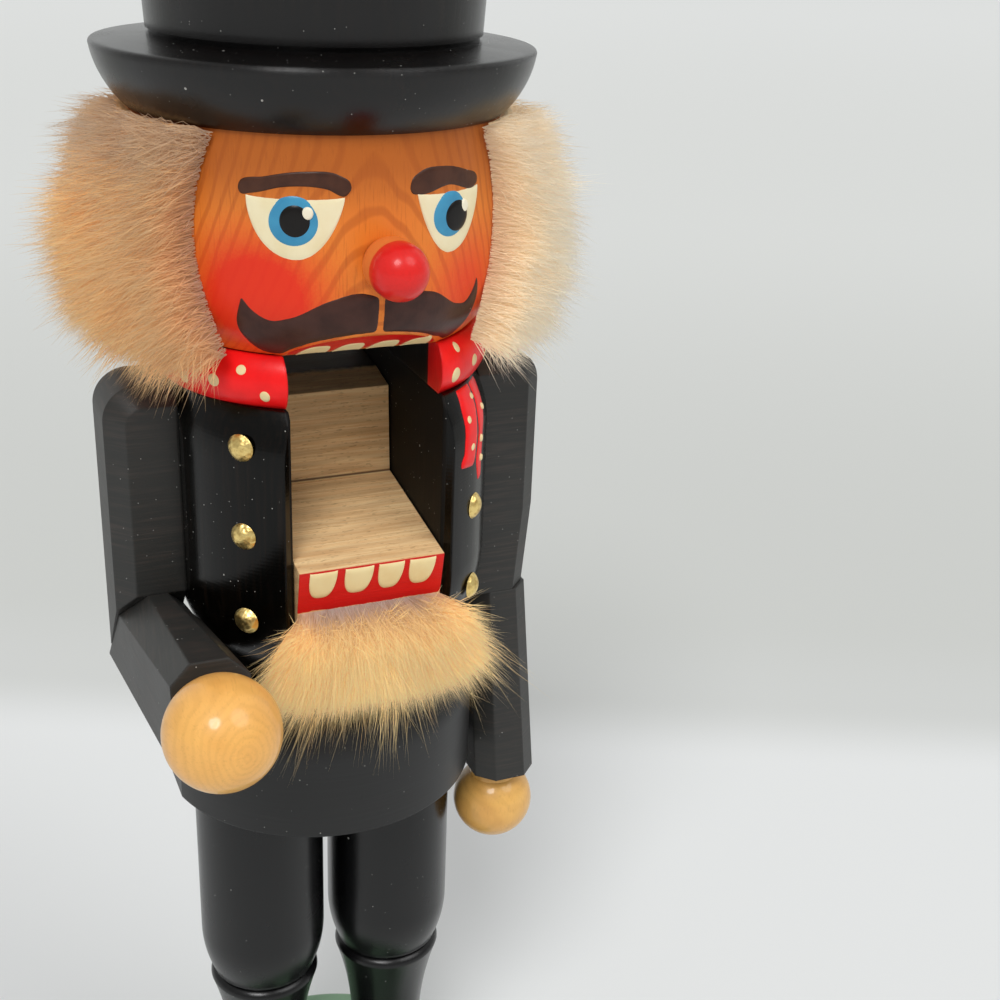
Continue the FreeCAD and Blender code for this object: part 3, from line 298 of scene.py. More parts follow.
class Nodes:
    """A node tree and short ways to add to it."""

    def __init__(self, tree):
        self.tree = tree

    def feed(self, node, inputs):
        for key, value in inputs.items():
            socket = node.inputs[key]
            value = value.socket if isinstance(value, Amount) else value
            if isinstance(value, bpy.types.NodeSocket):
                self.tree.links.new(value, socket)
            else:
                socket.default_value = value

    def node(self, kind, settings=None, inputs=None):
        """Adds a node of a type, with its settings first and then its sockets' values or links."""
        node = self.tree.nodes.new("ShaderNode" + kind)
        for key, value in (settings or {}).items():
            setattr(node, key, value)
        self.feed(node, inputs or {})
        return node

    def layers(self, colour, *others):
        """A colour with others over it, each given with how much of it shows; screen values or
        another node's colour."""
        for part, other in others:
            first, second = (paint(one) if isinstance(one, tuple) else one for one in (colour, other))
            colour = self.node("Mix", dict(data_type="RGBA"), {0: part, 6: first, 7: second}).outputs[2]
        return colour

    def apart(self, vector):
        """The three numbers of a vector."""
        return [Amount(self, socket) for socket in self.node("SeparateXYZ", None, {"Vector": vector}).outputs]


class Finish(Nodes):
    """One material: a Principled shader and the nodes that feed it."""

    def __init__(self, name, **plain):
        self.material = bpy.data.materials.new(name)
        self.material.use_nodes = True
        super().__init__(self.material.node_tree)
        self.shader = self.tree.nodes["Principled BSDF"]
        self.spot = None
        self.set(**plain)

    def stretched(self, size):
        """The object's own coordinates, in units of size millimetres on each axis."""
        self.spot = self.spot or self.node("TexCoord").outputs["Object"]
        return self.node("Mapping", None, {
            "Vector": self.spot, "Scale": [1 / (length * MM) for length in size]}).outputs[0]

    def x_y_z(self):
        """The place on the object, in millimetres."""
        return self.apart(self.stretched((1, 1, 1)))

    def noise(self, size, detail=3.0, rough=0.55, bend=0.0):
        """Cloudy noise, 0 to 1, with lumps of size millimetres on each axis."""
        size = size if isinstance(size, tuple) else (size,) * 3
        node = self.node("TexNoise", None, {
            "Vector": self.stretched(size), "Scale": 1.0, "Detail": detail,
            "Roughness": rough, "Distortion": bend})
        return Amount(self, node.outputs[0])

    def specks(self, cell, share, size):
        """1 on small round specks of dust: in a share of the cells, size is a part of a cell."""
        node = self.node("TexVoronoi", dict(feature="F1"),
                         {"Vector": self.stretched((cell, cell, cell)), "Scale": 1.0})
        pick = self.node("SeparateColor", None, {"Color": node.outputs["Color"]})
        chosen = Amount(self, pick.outputs[0]).rise(1 - share, 1 - share + 0.01)
        width = Amount(self, pick.outputs[1]) * size + 0.3 * size
        near = 1 - (Amount(self, node.outputs["Distance"]) / width).rise(0.6, 1.0)
        return near * chosen

    def grow(self, name):
        """A mesh's own stored number."""
        return Amount(self, self.node("Attribute", dict(attribute_name=name)).outputs["Fac"])

    def eased(self, radius):
        """A normal that rounds the edges over by radius millimetres."""
        return self.node("Bevel", dict(samples=4), {"Radius": radius * MM}).outputs[0]

    def bump(self, height, depth, under=None):
        """A Bump node: height from 0 to 1 stands for depth millimetres."""
        inputs = {"Height": height, "Distance": depth * MM, "Strength": 1.0}
        if under is not None:
            inputs["Normal"] = under
        return self.node("Bump", None, inputs).outputs[0]

    def set(self, **inputs):
        """Feeds the shader's inputs, named with _ for a space, and gives back the material."""
        self.feed(self.shader, {key.replace("_", " "): value for key, value in inputs.items()})
        return self.material


# Finishes.

DUST = (188, 188, 182)
LATHE_STEP = 0.9


def black_paint(name, tone, gloss, grain, grain_depth, dust=0.35, edge=0.8, brown=(0, 0, 0),
                turning=0.0, shine=0.42, slot=None):
    """Black paint on wood: the grain shows as fine ridges, dust as pale specks of two sizes, and the
    edges are rounded over. brown is how much warmer the paint is where it lies thin over the grain,
    turning is the height of the rings that the lathe left, one each LATHE_STEP, and within slot of
    the middle the paint is dull."""
    finish = Finish(name, Specular_IOR_Level=shine)
    ridges = finish.noise(grain, detail=4, rough=0.6)
    clouds = finish.noise(14, detail=3)
    specks = (finish.specks(1.5, dust, 0.085) + finish.specks(4.3, dust * 0.6, 0.06)).limited()
    thin = tuple(t + 5 + b for t, b in zip(tone, brown))
    worn = ridges.rise(0.42, 0.72) * clouds.rise(0.25, 0.6)
    colour = finish.layers(tone, (worn, thin), (specks * 0.8, DUST))
    height = ridges * 0.8 + finish.noise(0.5, detail=2) * 0.2 + specks * 0.4
    if turning:
        height = height + finish.x_y_z()[2].waves(LATHE_STEP) * turning
    rough = gloss + 0.12 * clouds + 0.3 * specks
    if slot:
        rough = rough + 0.5 * (1 - abs(finish.x_y_z()[0]).rise(slot - 0.3, slot + 0.1))
    return finish.set(Base_Color=colour, Roughness=rough,
                      Normal=finish.bump(height, grain_depth, finish.eased(edge)))


def stained_head():
    """Orange-brown stain over turned wood: growth rings d = sqrt(x^2 + (y + 26)^2) + 0.245 z
    show as nested arches, with fine pores; red is sprayed on both cheeks. The forehead is painted
    darker towards the hat, as painted shade of the brim, and the underside behind the lip's cut is
    near black."""
    finish = Finish("skin_stain", Specular_IOR_Level=0.22, Coat_Weight=0.08, Coat_Roughness=0.18)
    x, y, z = finish.x_y_z()
    sway = finish.noise((14, 14, 40), detail=2) * 3.2
    ring = (x * x + (y + 26) * (y + 26)).root() + z * 0.245 + sway
    bands = ring.waves(1.75) * 0.5 + 0.5
    pores = finish.noise((0.45, 0.45, 7), detail=3, rough=0.6)
    clouds = finish.noise((20, 20, 40), detail=2)
    up = z - HEAD_FOOT
    angle = x.math("ARCTAN2", x, -1 * y) * head.widest
    side = (abs(angle) - 24.5) / 14.5
    rise = (up - 12.5) / 13.5
    blush = (side * side + rise * rise).fall()
    grains = finish.noise(0.5, detail=1).rise(0.2, 0.75)
    red = (blush * (1.9 - 0.8 * x.rise(0, 6)) - 0.22 + (grains - 0.5) * 0.12).limited() * 0.95
    under = (1 - up.rise(0.1, 0.4)) * y.rise(-LIP_START, 0.6 - LIP_START)
    # up.rise(27, 41) darkens the forehead towards the hat: painted shade of the brim
    colour = finish.layers(
        (232, 130, 46), (bands.rise(0.6, 0.98) * 0.5, (176, 82, 24)),
        (pores.rise(0.52, 0.72) * 0.35, (150, 66, 22)), (up.rise(27, 41) * 0.72, (148, 72, 22)),
        (clouds * 0.2, (232, 132, 58)), (red, (230, 44, 22)), (under, (20, 17, 15)))
    return finish.set(Base_Color=colour, Roughness=0.3 + 0.14 * pores,
                      Normal=finish.bump(pores * 0.6 + bands * 0.25, 0.05))


def beech(name, pale, dark):
    """Beech: long fine grain along x and short dark flecks."""
    finish = Finish(name)
    grain = finish.noise((9, 0.5, 0.5), detail=4, rough=0.65)
    fleck = finish.noise((0.5, 0.5, 2.6), detail=1).rise(0.62, 0.7)
    colour = finish.layers(pale, (grain.rise(0.3, 0.72), dark), (fleck * 0.4, deeper(dark, 0.72)))
    return finish.set(Base_Color=colour, Roughness=0.55 + 0.1 * grain,
                      Normal=finish.bump(grain * 0.7 + fleck * 0.3, 0.05))


def lacquered_ball(name, middle, axis, pale, dark):
    """A turned ball of clear-lacquered beech: faint growth rings sin(2 pi r / 1.35) round the axis
    through its middle, r from that axis, and soft clouds; its poles show the end grain."""
    finish = Finish(name, Specular_IOR_Level=0.3, Coat_Weight=0.45, Coat_Roughness=0.1)
    place = finish.x_y_z()
    away = [place[i] - middle[i] for i in range(3) if i != axis]
    sway = finish.noise(7, detail=2) * 2.2
    far = (away[0] * away[0] + away[1] * away[1] * 0.75).root() + sway
    rings = (far.waves(1.35) * 0.5 + 0.5).rise(0.3, 1.0)
    grain = finish.noise((0.5, 5, 0.5) if axis == 1 else (0.5, 0.5, 5), detail=3, rough=0.6)
    clouds = finish.noise(11, detail=2)
    colour = finish.layers(pale, (clouds.rise(0.3, 0.75) * 0.6, dark), (rings * 0.13, deeper(dark, 0.84)),
                           (grain.rise(0.5, 0.75) * 0.25, deeper(dark, 0.84)))
    return finish.set(Base_Color=colour, Roughness=0.34 + 0.12 * grain, Normal=finish.bump(grain, 0.015))


# where the floor of the mouth meets its back wall, as (y, height)
CREASE = (-2.0, 213.24)


def lever_wood():
    """Sawn beech with wavy grain along x; a dark line along the crease between the floor of the
    mouth and its back wall, painted shade for the shadow in the saw kerf there; black paint far
    inside, where the lever runs into the body, and red on the jaw's sloping front face, out in front
    of the line from JAW_TOP to JAW_FOOT."""
    finish = Finish("raw_beech", Specular_IOR_Level=0.3)
    x, y, z = finish.x_y_z()
    grain = finish.noise((22, 0.5, 0.5), detail=4, rough=0.65)
    broad = finish.noise((26, 2.0, 2.0), detail=3, rough=0.6, bend=0.4)
    fleck = finish.noise((1.9, 0.35, 0.35), detail=1).rise(0.63, 0.7)
    sway = finish.noise((18, 30, 30), detail=2) * 3.0
    waves = (y * 0.45 + z + sway).waves(3.1) * 0.5 + 0.5
    down, deep = z - CREASE[1], y - CREASE[0]
    # a dark line along the crease: painted shade of the saw kerf
    crease = 1 - (down * down + deep * deep).root().rise(0.15, 0.5)
    inner = (y + finish.noise(3, detail=4) * 3).rise(9, 11)
    out = y - JAW_TOP[0] - (JAW_TOP[1] - z) * ((JAW_FOOT[0] - JAW_TOP[0]) / (JAW_TOP[1] - JAW_FOOT[1]))
    ragged = finish.noise((3, 3, 3), detail=3) * 1.1 - 0.55
    lip = (1 - out.rise(0.12, 0.26)) * (z + ragged - JAW_FOOT[1]).rise(0.35, 0.5)
    lip = lip * (1 - (z - JAW_TOP[1]).rise(-0.1, 0.1))
    colour = finish.layers(
        (255, 222, 168), (grain.rise(0.3, 0.72), (234, 186, 128)),
        (broad.rise(0.4, 0.75) * 0.5, (206, 162, 114)), (waves.rise(0.35, 1.0) * 0.3, (190, 146, 102)),
        (fleck * 0.45, (160, 114, 74)), (crease * 0.85, (92, 62, 40)), (inner, (22, 20, 19)),
        (lip, finish.layers((226, 24, 22), (broad, (200, 16, 18)))))
    return finish.set(Base_Color=colour, Roughness=0.6 - 0.22 * lip,
                      Normal=finish.bump(grain + fleck * 0.3 + waves * 0.3, 0.08, finish.eased(0.3)))


def glossy_paint(name, tone, shade, gloss=0.24, coat=0.3, grain=(0.8, 0.8, 9)):
    """Enamel with faint brush marks and cloudy depth."""
    finish = Finish(name, Specular_IOR_Level=0.22, Coat_Weight=coat * 0.35, Coat_Roughness=0.12)
    clouds = finish.noise(5, detail=3)
    marks = finish.noise(grain, detail=3, rough=0.6)
    specks = finish.specks(3.1, 0.15, 0.06)
    colour = finish.layers(tone, (clouds.rise(0.3, 0.8), shade), (specks * 0.35, (235, 210, 200)))
    return finish.set(Base_Color=colour, Roughness=gloss + 0.15 * marks,
                      Normal=finish.bump(marks + specks * 0.3, 0.035))


def scarf_paint():
    """Red enamel; the walls of the mouth's slot are black from 25.5 mm in front of the middle."""
    finish = Finish("scarf_red", Specular_IOR_Level=0.22, Coat_Weight=0.1, Coat_Roughness=0.12)
    x, y, z = finish.x_y_z()
    marks = finish.noise((0.8, 0.8, 9), detail=3, rough=0.6)
    clouds = finish.noise(5, detail=3)
    slot = (1 - abs(x).rise(17.15, 17.45)) * (y + marks).rise(-25.6, -24.9)
    colour = finish.layers((252, 26, 28), (clouds.rise(0.3, 0.8), (236, 20, 22)), (slot, (18, 15, 14)))
    return finish.set(Base_Color=colour, Roughness=0.24 + 0.15 * marks,
                      Normal=finish.bump(marks, 0.035, finish.eased(0.7)))


def nose_paint():
    """Red on the front of the ball; the ring behind it is stained wood."""
    finish = Finish("nose_red", Specular_IOR_Level=0.25, Coat_Weight=0.2, Coat_Roughness=0.12)
    x, y, z = finish.x_y_z()
    grain = finish.noise((0.6, 8, 0.6), detail=3)
    bare = (y + finish.noise(2.5, detail=2) * 0.8).rise(-48.4, -47.9)
    colour = finish.layers((226, 36, 32), (grain.rise(0.4, 0.8) * 0.4, (204, 26, 24)), (bare, (232, 126, 60)))
    return finish.set(Base_Color=colour, Roughness=0.26 + 0.1 * grain, Normal=finish.bump(grain, 0.03))


def brass():
    """Domed brass tacks, slightly faceted and tarnished."""
    finish = Finish("nail_brass", Metallic=1.0)
    dull = finish.noise(1.4, detail=3)
    colour = finish.layers((244, 216, 140), (dull.rise(0.4, 0.8), (178, 138, 70)))
    return finish.set(Base_Color=colour, Roughness=0.26 + 0.2 * dull,
                      Normal=finish.bump(finish.noise(1.6, detail=1), 0.4))


def steel():
    """Plated screws with fine turning marks."""
    finish = Finish("screw_steel", Metallic=1.0)
    dull = finish.noise((3, 3, 0.3), detail=3)
    return finish.set(Base_Color=finish.layers((176, 176, 174), (dull, (122, 121, 118))),
                      Roughness=0.3 + 0.2 * dull, Normal=finish.bump(dull, 0.03))


def green_base():
    """Pale green brushed paint, with paler brush streaks."""
    finish = Finish("base_green", Coat_Weight=0.15, Coat_Roughness=0.3)
    brush = finish.noise((30, 0.8, 0.8), detail=3)
    clouds = finish.noise(12, detail=3)
    colour = finish.layers((130, 166, 133), (clouds.rise(0.3, 0.75), (112, 148, 118)),
                           (brush.rise(0.5, 0.85) * 0.3, (150, 182, 150)))
    return finish.set(Base_Color=colour, Roughness=0.4 + 0.15 * brush, Normal=finish.bump(brush, 0.05))


def fur(name, root, middle, tip, shade, under, through):
    """Hair whose colour runs from root to tip, each strand and tuft a little lighter or darker;
    under is the colour where the stored number zone is 1. It glows with the part through of its
    colour: painted light, standing for the light that comes through the neighbouring hairs."""
    finish = Finish(name, Specular_IOR_Level=0.25, Sheen_Weight=0.3, Emission_Strength=through)
    along, tone, zone = finish.grow("along"), finish.grow("tone"), finish.grow("zone")
    colour = finish.layers(root, (along.rise(0.0, 0.45), middle), (along.rise(0.35, 0.95), tip),
                           (tone.rise(0.4, 0.95) * 0.7, shade), (zone * 0.8, under))
    return finish.set(Base_Color=colour, Roughness=0.6, Emission_Color=colour)


# by slot; the solids came with materials of these names, so Blender added a number after a dot
finishes = {material.name.split(".")[0]: material for material in (
    green_base(), steel(), brass(), scarf_paint(), stained_head(), nose_paint(), lever_wood(),
    beech("dowel_beech", (236, 198, 146), (200, 156, 108)),
    lacquered_ball("hand_beech", (-37.9, -64.8, 189.3), 1, (246, 186, 100), (226, 162, 80)),
    black_paint("black_gloss", (7, 7, 8), 0.2, grain=(0.9, 0.9, 40), grain_depth=0.02, dust=0.3),
    black_paint("black_matte", (24, 24, 24), 0.34, grain=(40, 40, 0.8), grain_depth=0.03),
    black_paint("black_satin", (2, 2, 1), 0.13, grain=(1.0, 1.0, 26), grain_depth=0.03, dust=0.7,
                brown=(12, 5, 1), turning=0.05, shine=0.22, slot=17.7),
    black_paint("sleeve_black", (42, 42, 40), 0.42, grain=(16, 16, 0.7), grain_depth=0.08, dust=0.6,
                brown=(12, 6, 4)),
    black_paint("hat_black", (8, 7, 7), 0.2, grain=(0.7, 0.7, 22), grain_depth=0.04, dust=0.5,
                edge=2.2, brown=(9, 4, 1)),
    # the last number of each fur is the part of its colour that it glows with: painted light
    fur("hair_fur", (208, 146, 90), (246, 178, 106), (253, 212, 150), (184, 112, 56), (184, 156, 130), 0.2),
    fur("beard_fur", (226, 170, 104), (255, 208, 130), (255, 226, 160), (206, 144, 76), (132, 112, 104),
        0.36),
)}
cream_fur = fur("cream_fur", (236, 200, 152), (254, 234, 196), (255, 248, 226), (232, 192, 144),
                (238, 216, 184), 0.21)
left_ball = lacquered_ball("hand_beech_left", (46.9, -7.5, 115.0), 2, (232, 180, 98), (214, 154, 78))
eye_white = glossy_paint("eye_white", (242, 230, 192), (236, 220, 176), gloss=0.34, coat=0.15)
iris_grey = glossy_paint("iris_grey", (70, 152, 190), (58, 136, 176), gloss=0.3)
pupil_black = glossy_paint("pupil_black", (12, 11, 10), (18, 14, 12), gloss=0.25)
# white for the eye glints: a painted highlight
glint_white = glossy_paint("glint_white", (248, 240, 216), (242, 232, 206), gloss=0.3)
brow_brown = glossy_paint("brow_brown", (78, 46, 32), (54, 30, 22), gloss=0.32, coat=0.2)
moustache_brown = glossy_paint("moustache_brown", (72, 42, 34), (52, 28, 22), gloss=0.3, coat=0.25,
                               grain=(0.6, 0.6, 6))
lip_red = glossy_paint("lip_red", (216, 22, 22), (192, 16, 18), gloss=0.32, coat=0.15)
tooth_cream = glossy_paint("tooth_cream", (240, 222, 170), (234, 210, 154), gloss=0.34, coat=0.15)

for part in frame["record"]["subparts"]:
    solid = frame["nodes"][part["node"]]
    solid.data.materials.clear()
    solid.data.materials.append(finishes[part["material_slot"]])
frame["nodes"]["left_hand"].data.materials[0] = left_ball


# The painted face: edges as (across, height above the head's foot).

BROW_LEFT = dict(
    upper=[(-27.6, 35.3), (-27.2, 36.7), (-22, 38.1), (-14.4, 39.3), (-7.6, 38.8), (-5.4, 37.4),
           (-5.0, 35.9)],
    lower=[(-27.6, 35.3), (-26.9, 34.3), (-24.6, 34.5), (-18.3, 36.0), (-9.9, 35.7), (-6.3, 34.4),
           (-5.0, 35.9)])
BROW_RIGHT = dict(
    upper=[(7.1, 35.5), (7.7, 37.4), (9.8, 38.9), (15.9, 39.3), (22.5, 37.8), (25.9, 36.4), (26.5, 35.1)],
    lower=[(7.1, 35.5), (7.7, 34.3), (9.2, 33.9), (16.9, 35.1), (25.6, 34.1), (26.5, 35.1)])
MOUSTACHE_LEFT = dict(
    upper=[(-27.6, 13.6), (-25.2, 11.0), (-21.5, 9.2), (-17.7, 10), (-9.3, 13.9), (-3.1, 15.3), (1.0, 14.2)],
    lower=[(-27.6, 13.6), (-29.3, 6.2), (-25.9, 1.2), (-20, 0.2), (-13.1, 2.4), (-5.1, 5.3), (1.1, 5.6)])
MOUSTACHE_RIGHT = dict(
    upper=[(1.4, 14.1), (5, 14.6), (13.2, 14.1), (20.9, 10), (23.6, 9.6), (26.4, 12.2), (27.6, 14.4)],
    lower=[(1.5, 5.6), (9, 4.5), (19.3, 1.7), (25.2, 0.2), (28.0, 3.0), (28.6, 8), (27.6, 14.4)])
STROKE_COLUMNS = 60


def stroke(edges, low_limit=None, lift=PAINT_LIFT):
    """A brush stroke on the head between two smooth edges; low_limit gives the least height of its
    foot, which keeps it off the cut under the face."""
    lower, upper = (smooth_line(edges[side], STROKE_COLUMNS) for side in ("lower", "upper"))
    if low_limit is not None:
        lower[:, 1] = np.maximum(lower[:, 1], low_limit(lower[:, 0]))
        upper[:, 1] = np.maximum(upper[:, 1], lower[:, 1])
    return coat_of_paint(on_head, lower, upper, lift)


def cut_height(across):
    """Height of the cut's edge above the head's foot: where the head's outside,
    radius * cos(angle), is further forward than the slope, LIP_START + height / tan(slope)."""
    up = np.linspace(0, 12, 121)[:, None]
    out = head.radius(HEAD_FOOT + up) * np.cos(across / head.widest)
    under = out >= LIP_START + up / math.tan(LIP_SLOPE)
    return np.where(under, up, 0).max(axis=0)


piece("brows", [stroke(BROW_LEFT), stroke(BROW_RIGHT)], brow_brown)
piece("moustache", [stroke(half, lambda across: cut_height(across) + 0.3, lift=0.3)
                    for half in (MOUSTACHE_LEFT, MOUSTACHE_RIGHT)], moustache_brown)
piece("eye_whites", [
    coat_of_paint(on_head, *bowl(-25.9, -6.4, 34.3, 13.0, outer=0.5, inner=0.72), lift=0.2),
    coat_of_paint(on_head, *bowl(8.9, 26.4, 34.2, 13.4, outer=0.85, inner=0.5), lift=0.2)], eye_white)

# round layers of the eyes: finish, lift, dome, and for each eye the centre and half sizes; the
# glints are white dabs at the top of each pupil, a painted highlight
EYE_LAYERS = {
    "irises": (iris_grey, 0.36, 0.0, ((-16.5, 29.35), (5.55, 5.35)), ((17.5, 29.1), (5.35, 5.05))),
    "pupils": (pupil_black, 0.48, 0.3, ((-16.2, 29.6), (3.4, 3.6)), ((19.2, 28.8), (3.7, 3.6))),
    "eye_glints": (glint_white, 0.72, 0.0, ((-13.7, 31.2), (1.25, 1.4)), ((21.3, 30.5), (1.35, 1.5)))}
for label, (finish, lift, dome, *places) in EYE_LAYERS.items():
    piece(label, [dab(on_head, centre, half, lift, dome) for centre, half in places], finish)


# Lips and teeth.

def lip_edges():
    """The whole sloped cut: from its back edge to where it leaves the head's outside, found on a
    fine ladder of steps up the slope."""
    end = math.sqrt(head.radius(HEAD_FOOT) ** 2 - LIP_START ** 2) - 0.2
    across = np.linspace(-end, end, 61)
    up = np.linspace(0, 14, 281)[:, None]
    inside = np.hypot(across, LIP_START + up * math.cos(LIP_SLOPE)) <= head.radius(
        HEAD_FOOT + up * math.sin(LIP_SLOPE)) + 0.05
    edge = np.where(inside, up, 0).max(axis=0)
    return np.stack([across, 0 * across], -1), np.stack([across, edge], -1)


UPPER_TEETH = ((-14.2, -7.9), (-6.4, -0.5), (1.1, 7.2), (8.6, 14.4))
LOWER_TEETH = ((-14.3, -8.1), (-6.3, 0.2), (1.4, 7.3), (8.6, 14.7))
piece("upper_lip", [coat_of_paint(on_lip, *lip_edges(), lift=0.1)], lip_red)
piece("upper_teeth", [coat_of_paint(
    on_lip, *bowl(left, right, 0.2, -5.3, square=3, outer=0.5, inner=0.3, lean=-0.22), lift=0.28)
    for left, right in UPPER_TEETH], tooth_cream)
piece("lower_teeth", [coat_of_paint(
    on_jaw, *bowl(left, right, -0.3, 7.3, square=3, outer=0.3, inner=0.42, lean=-0.05), lift=0.3)
    for left, right in LOWER_TEETH], tooth_cream, body="lever")


# Neckerchief.

def on_band(across, up, lift):
    """Point on the neckerchief's band: up from the torso's top."""
    return band.place(across, band.heights[0] + up, lift)


def on_coat(across, up, lift):
    """Point on the coat's round front: up is a height above the floor."""
    return coat.place(across, up, lift)


# dots as (across, up, half width, half height), on the band and on its two ends
BAND_DOTS = ((-34.6, 5.0, 1.55, 1.5), (-28.1, 8.1, 1.25, 1.05), (-22.7, 3.0, 1.2, 1.35),
             (-39.0, 8.8, 1.1, 0.8), (-43.5, 3.6, 1.4, 1.4), (24.4, 9.4, 1.0, 1.1), (22.6, 3.7, 1.6, 1.9),
             (30.8, 5.0, 1.4, 1.5), (36.5, 8.3, 1.2, 1.2), (41.5, 3.8, 1.5, 1.5))
TAIL_DOTS = ((31.2, 240.6, 1.05, 0.8), (26.6, 236.6, 0.95, 1.0), (27.3, 230.1, 1.05, 1.0),
             (35.7, 236.9, 0.8, 0.8), (32.6, 230.4, 0.75, 1.0), (32.9, 225.6, 0.8, 0.9))
DOT_DOME = 0.08

# the neckerchief's two ends, painted on the coat's front: edges as (across, height above the floor)
FRONT_TAIL = dict(
    lower=[(25.6, 243.0), (24.9, 240.0), (24.7, 237.5), (24.5, 234.8), (24.3, 232.1), (23.8, 229.3),
           (22.7, 227.0), (22.9, 226.0)],
    upper=[(33.6, 243.0), (32.6, 240.5), (31.8, 237.9), (31.2, 235.8), (30.6, 233.6), (29.9, 230.2),
           (29.3, 226.7), (28.2, 224.9)])
REAR_TAIL = dict(
    lower=[(33.2, 243.0), (32.4, 238.0), (31.6, 234.9), (31.2, 232.2), (30.7, 228.7), (30.1, 225.2),
           (30.9, 222.3), (32.0, 220.2)],
    upper=[(41.0, 243.0), (38.4, 239.0), (36.6, 235.1), (35.0, 232.3), (34.4, 228.9), (34.1, 223.7),
           (33.9, 221.4), (32.9, 220.0)])
TAIL_COLUMNS = 50


def dots(place, spots, lift):
    """Domed dabs of paint at the given spots."""
    return [dab(place, (across, up), (wide, tall), lift, DOT_DOME) for across, up, wide, tall in spots]


def tail(edges, lift):
    """One end of the neckerchief, narrowing downwards; its edges waver by 0.12 sin(17 t) across and
    0.12 sin(31 t) up, t from 0 at its top to 1 at its foot."""
    lower, upper = (smooth_line(edges[side], TAIL_COLUMNS) for side in ("lower", "upper"))
    t = np.linspace(0, 1, TAIL_COLUMNS)[:, None]
    wave = 0.12 * np.hstack([np.sin(17 * t), np.sin(31 * t)])
    return coat_of_paint(on_coat, lower + wave, upper - wave, lift)


piece("scarf_dots", dots(on_band, BAND_DOTS, 0.14), tooth_cream)
piece("scarf_tails", [tail(REAR_TAIL, 0.14), tail(FRONT_TAIL, 0.42)], finishes["scarf_red"])
piece("scarf_tail_dots", dots(on_coat, TAIL_DOTS, 0.5), tooth_cream)


# Fur.

STRAND_ROUND = 3
# no hair runs along this direction
ASIDE = np.array([0.31, 0.27, 0.91])
# how many hairs make a tuft, and the fewest tufts
TUFT_HAIRS, LEAST_TUFTS = 26, 30
# single hairs that reach beyond the others
WISP = dict(longer=1.2, stations=(0.0, 0.35, 0.7))


def strands(name, roots, bends, tips, width, tone, zone, finish, body, replaces, stations, fade=0.0):
    """Hairs as closed three-sided spikes along the curve (1-t)^2 root + 2t(1-t) bend + t^2 tip.

    Each has a ring of width (1 - 0.6 t) at each station t, a pointed tip and a capped root. The
    stored number zone is times 1 - fade t."""
    count = len(roots)
    stations = np.array(stations)
    t = stations[None, :, None]
    line = (1 - t) ** 2 * roots[:, None] + 2 * t * (1 - t) * bends[:, None] + t ** 2 * tips[:, None]
    run = tips - roots
    run /= np.linalg.norm(run, axis=1)[:, None]
    first = np.cross(run, ASIDE)
    first /= np.linalg.norm(first, axis=1)[:, None]
    second = np.cross(run, first)
    turn = np.arange(STRAND_ROUND) * 2 * np.pi / STRAND_ROUND
    circle = first[:, None] * np.cos(turn)[None, :, None] + second[:, None] * np.sin(turn)[None, :, None]
    reach = width[:, None] * (1 - 0.6 * stations[None]) / 2
    rings = line[:, :, None] + circle[:, None] * reach[:, :, None, None]
    size = STRAND_ROUND * len(stations) + 1
    points = np.concatenate([rings.reshape(count, -1, 3), tips[:, None]], axis=1)
    index = np.arange(len(stations) * STRAND_ROUND).reshape(-1, STRAND_ROUND)
    following = np.roll(index, -1, axis=1)
    sides = np.stack([index[:-1], following[:-1], following[1:], index[1:]], -1).reshape(-1, 4)
    point = np.stack([index[-1], following[-1], np.full(STRAND_ROUND, size - 1)], -1)
    cap = index[0][::-1][None]
    corners_of_one = np.concatenate([sides.ravel(), point.ravel(), cap.ravel()])
    sizes_of_one = np.array([4] * len(sides) + [3] * (len(point) + len(cap)))
    loops = (corners_of_one[None] + size * np.arange(count)[:, None]).ravel()
    sizes = np.tile(sizes_of_one, count)
    mesh = bpy.data.meshes.new(name)
    mesh.vertices.add(size * count)
    mesh.loops.add(len(loops))
    mesh.polygons.add(len(sizes))
    mesh.vertices.foreach_set("co", (points * MM).astype(np.float32).ravel())
    mesh.loops.foreach_set("vertex_index", loops.astype(np.int32))
    mesh.polygons.foreach_set("loop_start", (np.cumsum(sizes) - sizes).astype(np.int32))
    mesh.update(calc_edges=True)
    grown = np.concatenate([np.repeat(stations, STRAND_ROUND), [1.0]])
    for label, values in (("along", np.tile(grown, count)), ("tone", np.repeat(tone, size)),
                          ("zone", np.repeat(zone, size) * np.clip(1 - fade * np.tile(grown, count), 0, 1))):
        mesh.attributes.new(label, "FLOAT", "POINT").data.foreach_set("value", values.astype(np.float32))
    mesh.shade_smooth()
    finish_piece(name, mesh, finish, body, replaces)


def ramp(value, low, high):
    """0 below low, 1 above high and 3s^2 - 2s^3 between."""
    s = np.clip((value - low) / (high - low), 0, 1)
    return s * s * (3 - 2 * s)


# the hair's seat on the head: its radius, and its lowest and highest place above the head's foot
HAIR_SEAT = 40.7
HAIR_LOW, HAIR_HIGH = 1.0, 45.5
# in radians: how far behind the hair's front edge the pelt starts, how much further back hairs are
# rooted in its full depth, how fast the edge's sweep dies out, and how far the pelt passes the back
PELT_START, PELT_RISE, EDGE_FALL, PELT_PAST = 0.09, 0.4, 0.22, 0.02


def pelt_depth(up):
    """Thickness of the felted under-fur at a height: 1.2 + 7.5 sqrt(1 - w^2), w from -1 to 1."""
    w = np.clip(2 * (up - HAIR_LOW) / (HAIR_HIGH - HAIR_LOW) - 1, -1, 1)
    return 1.2 + 7.5 * np.sqrt(1 - w * w)


def hair_edge(side, up):
    """Angle from the front at which the hair begins, in radians: further back at mid height."""
    least, swing = (44, 9.6) if side < 0 else (36, 13)
    return np.radians(least + swing * np.sin(np.pi * np.clip((up - 2) / 46, 0, 1)))


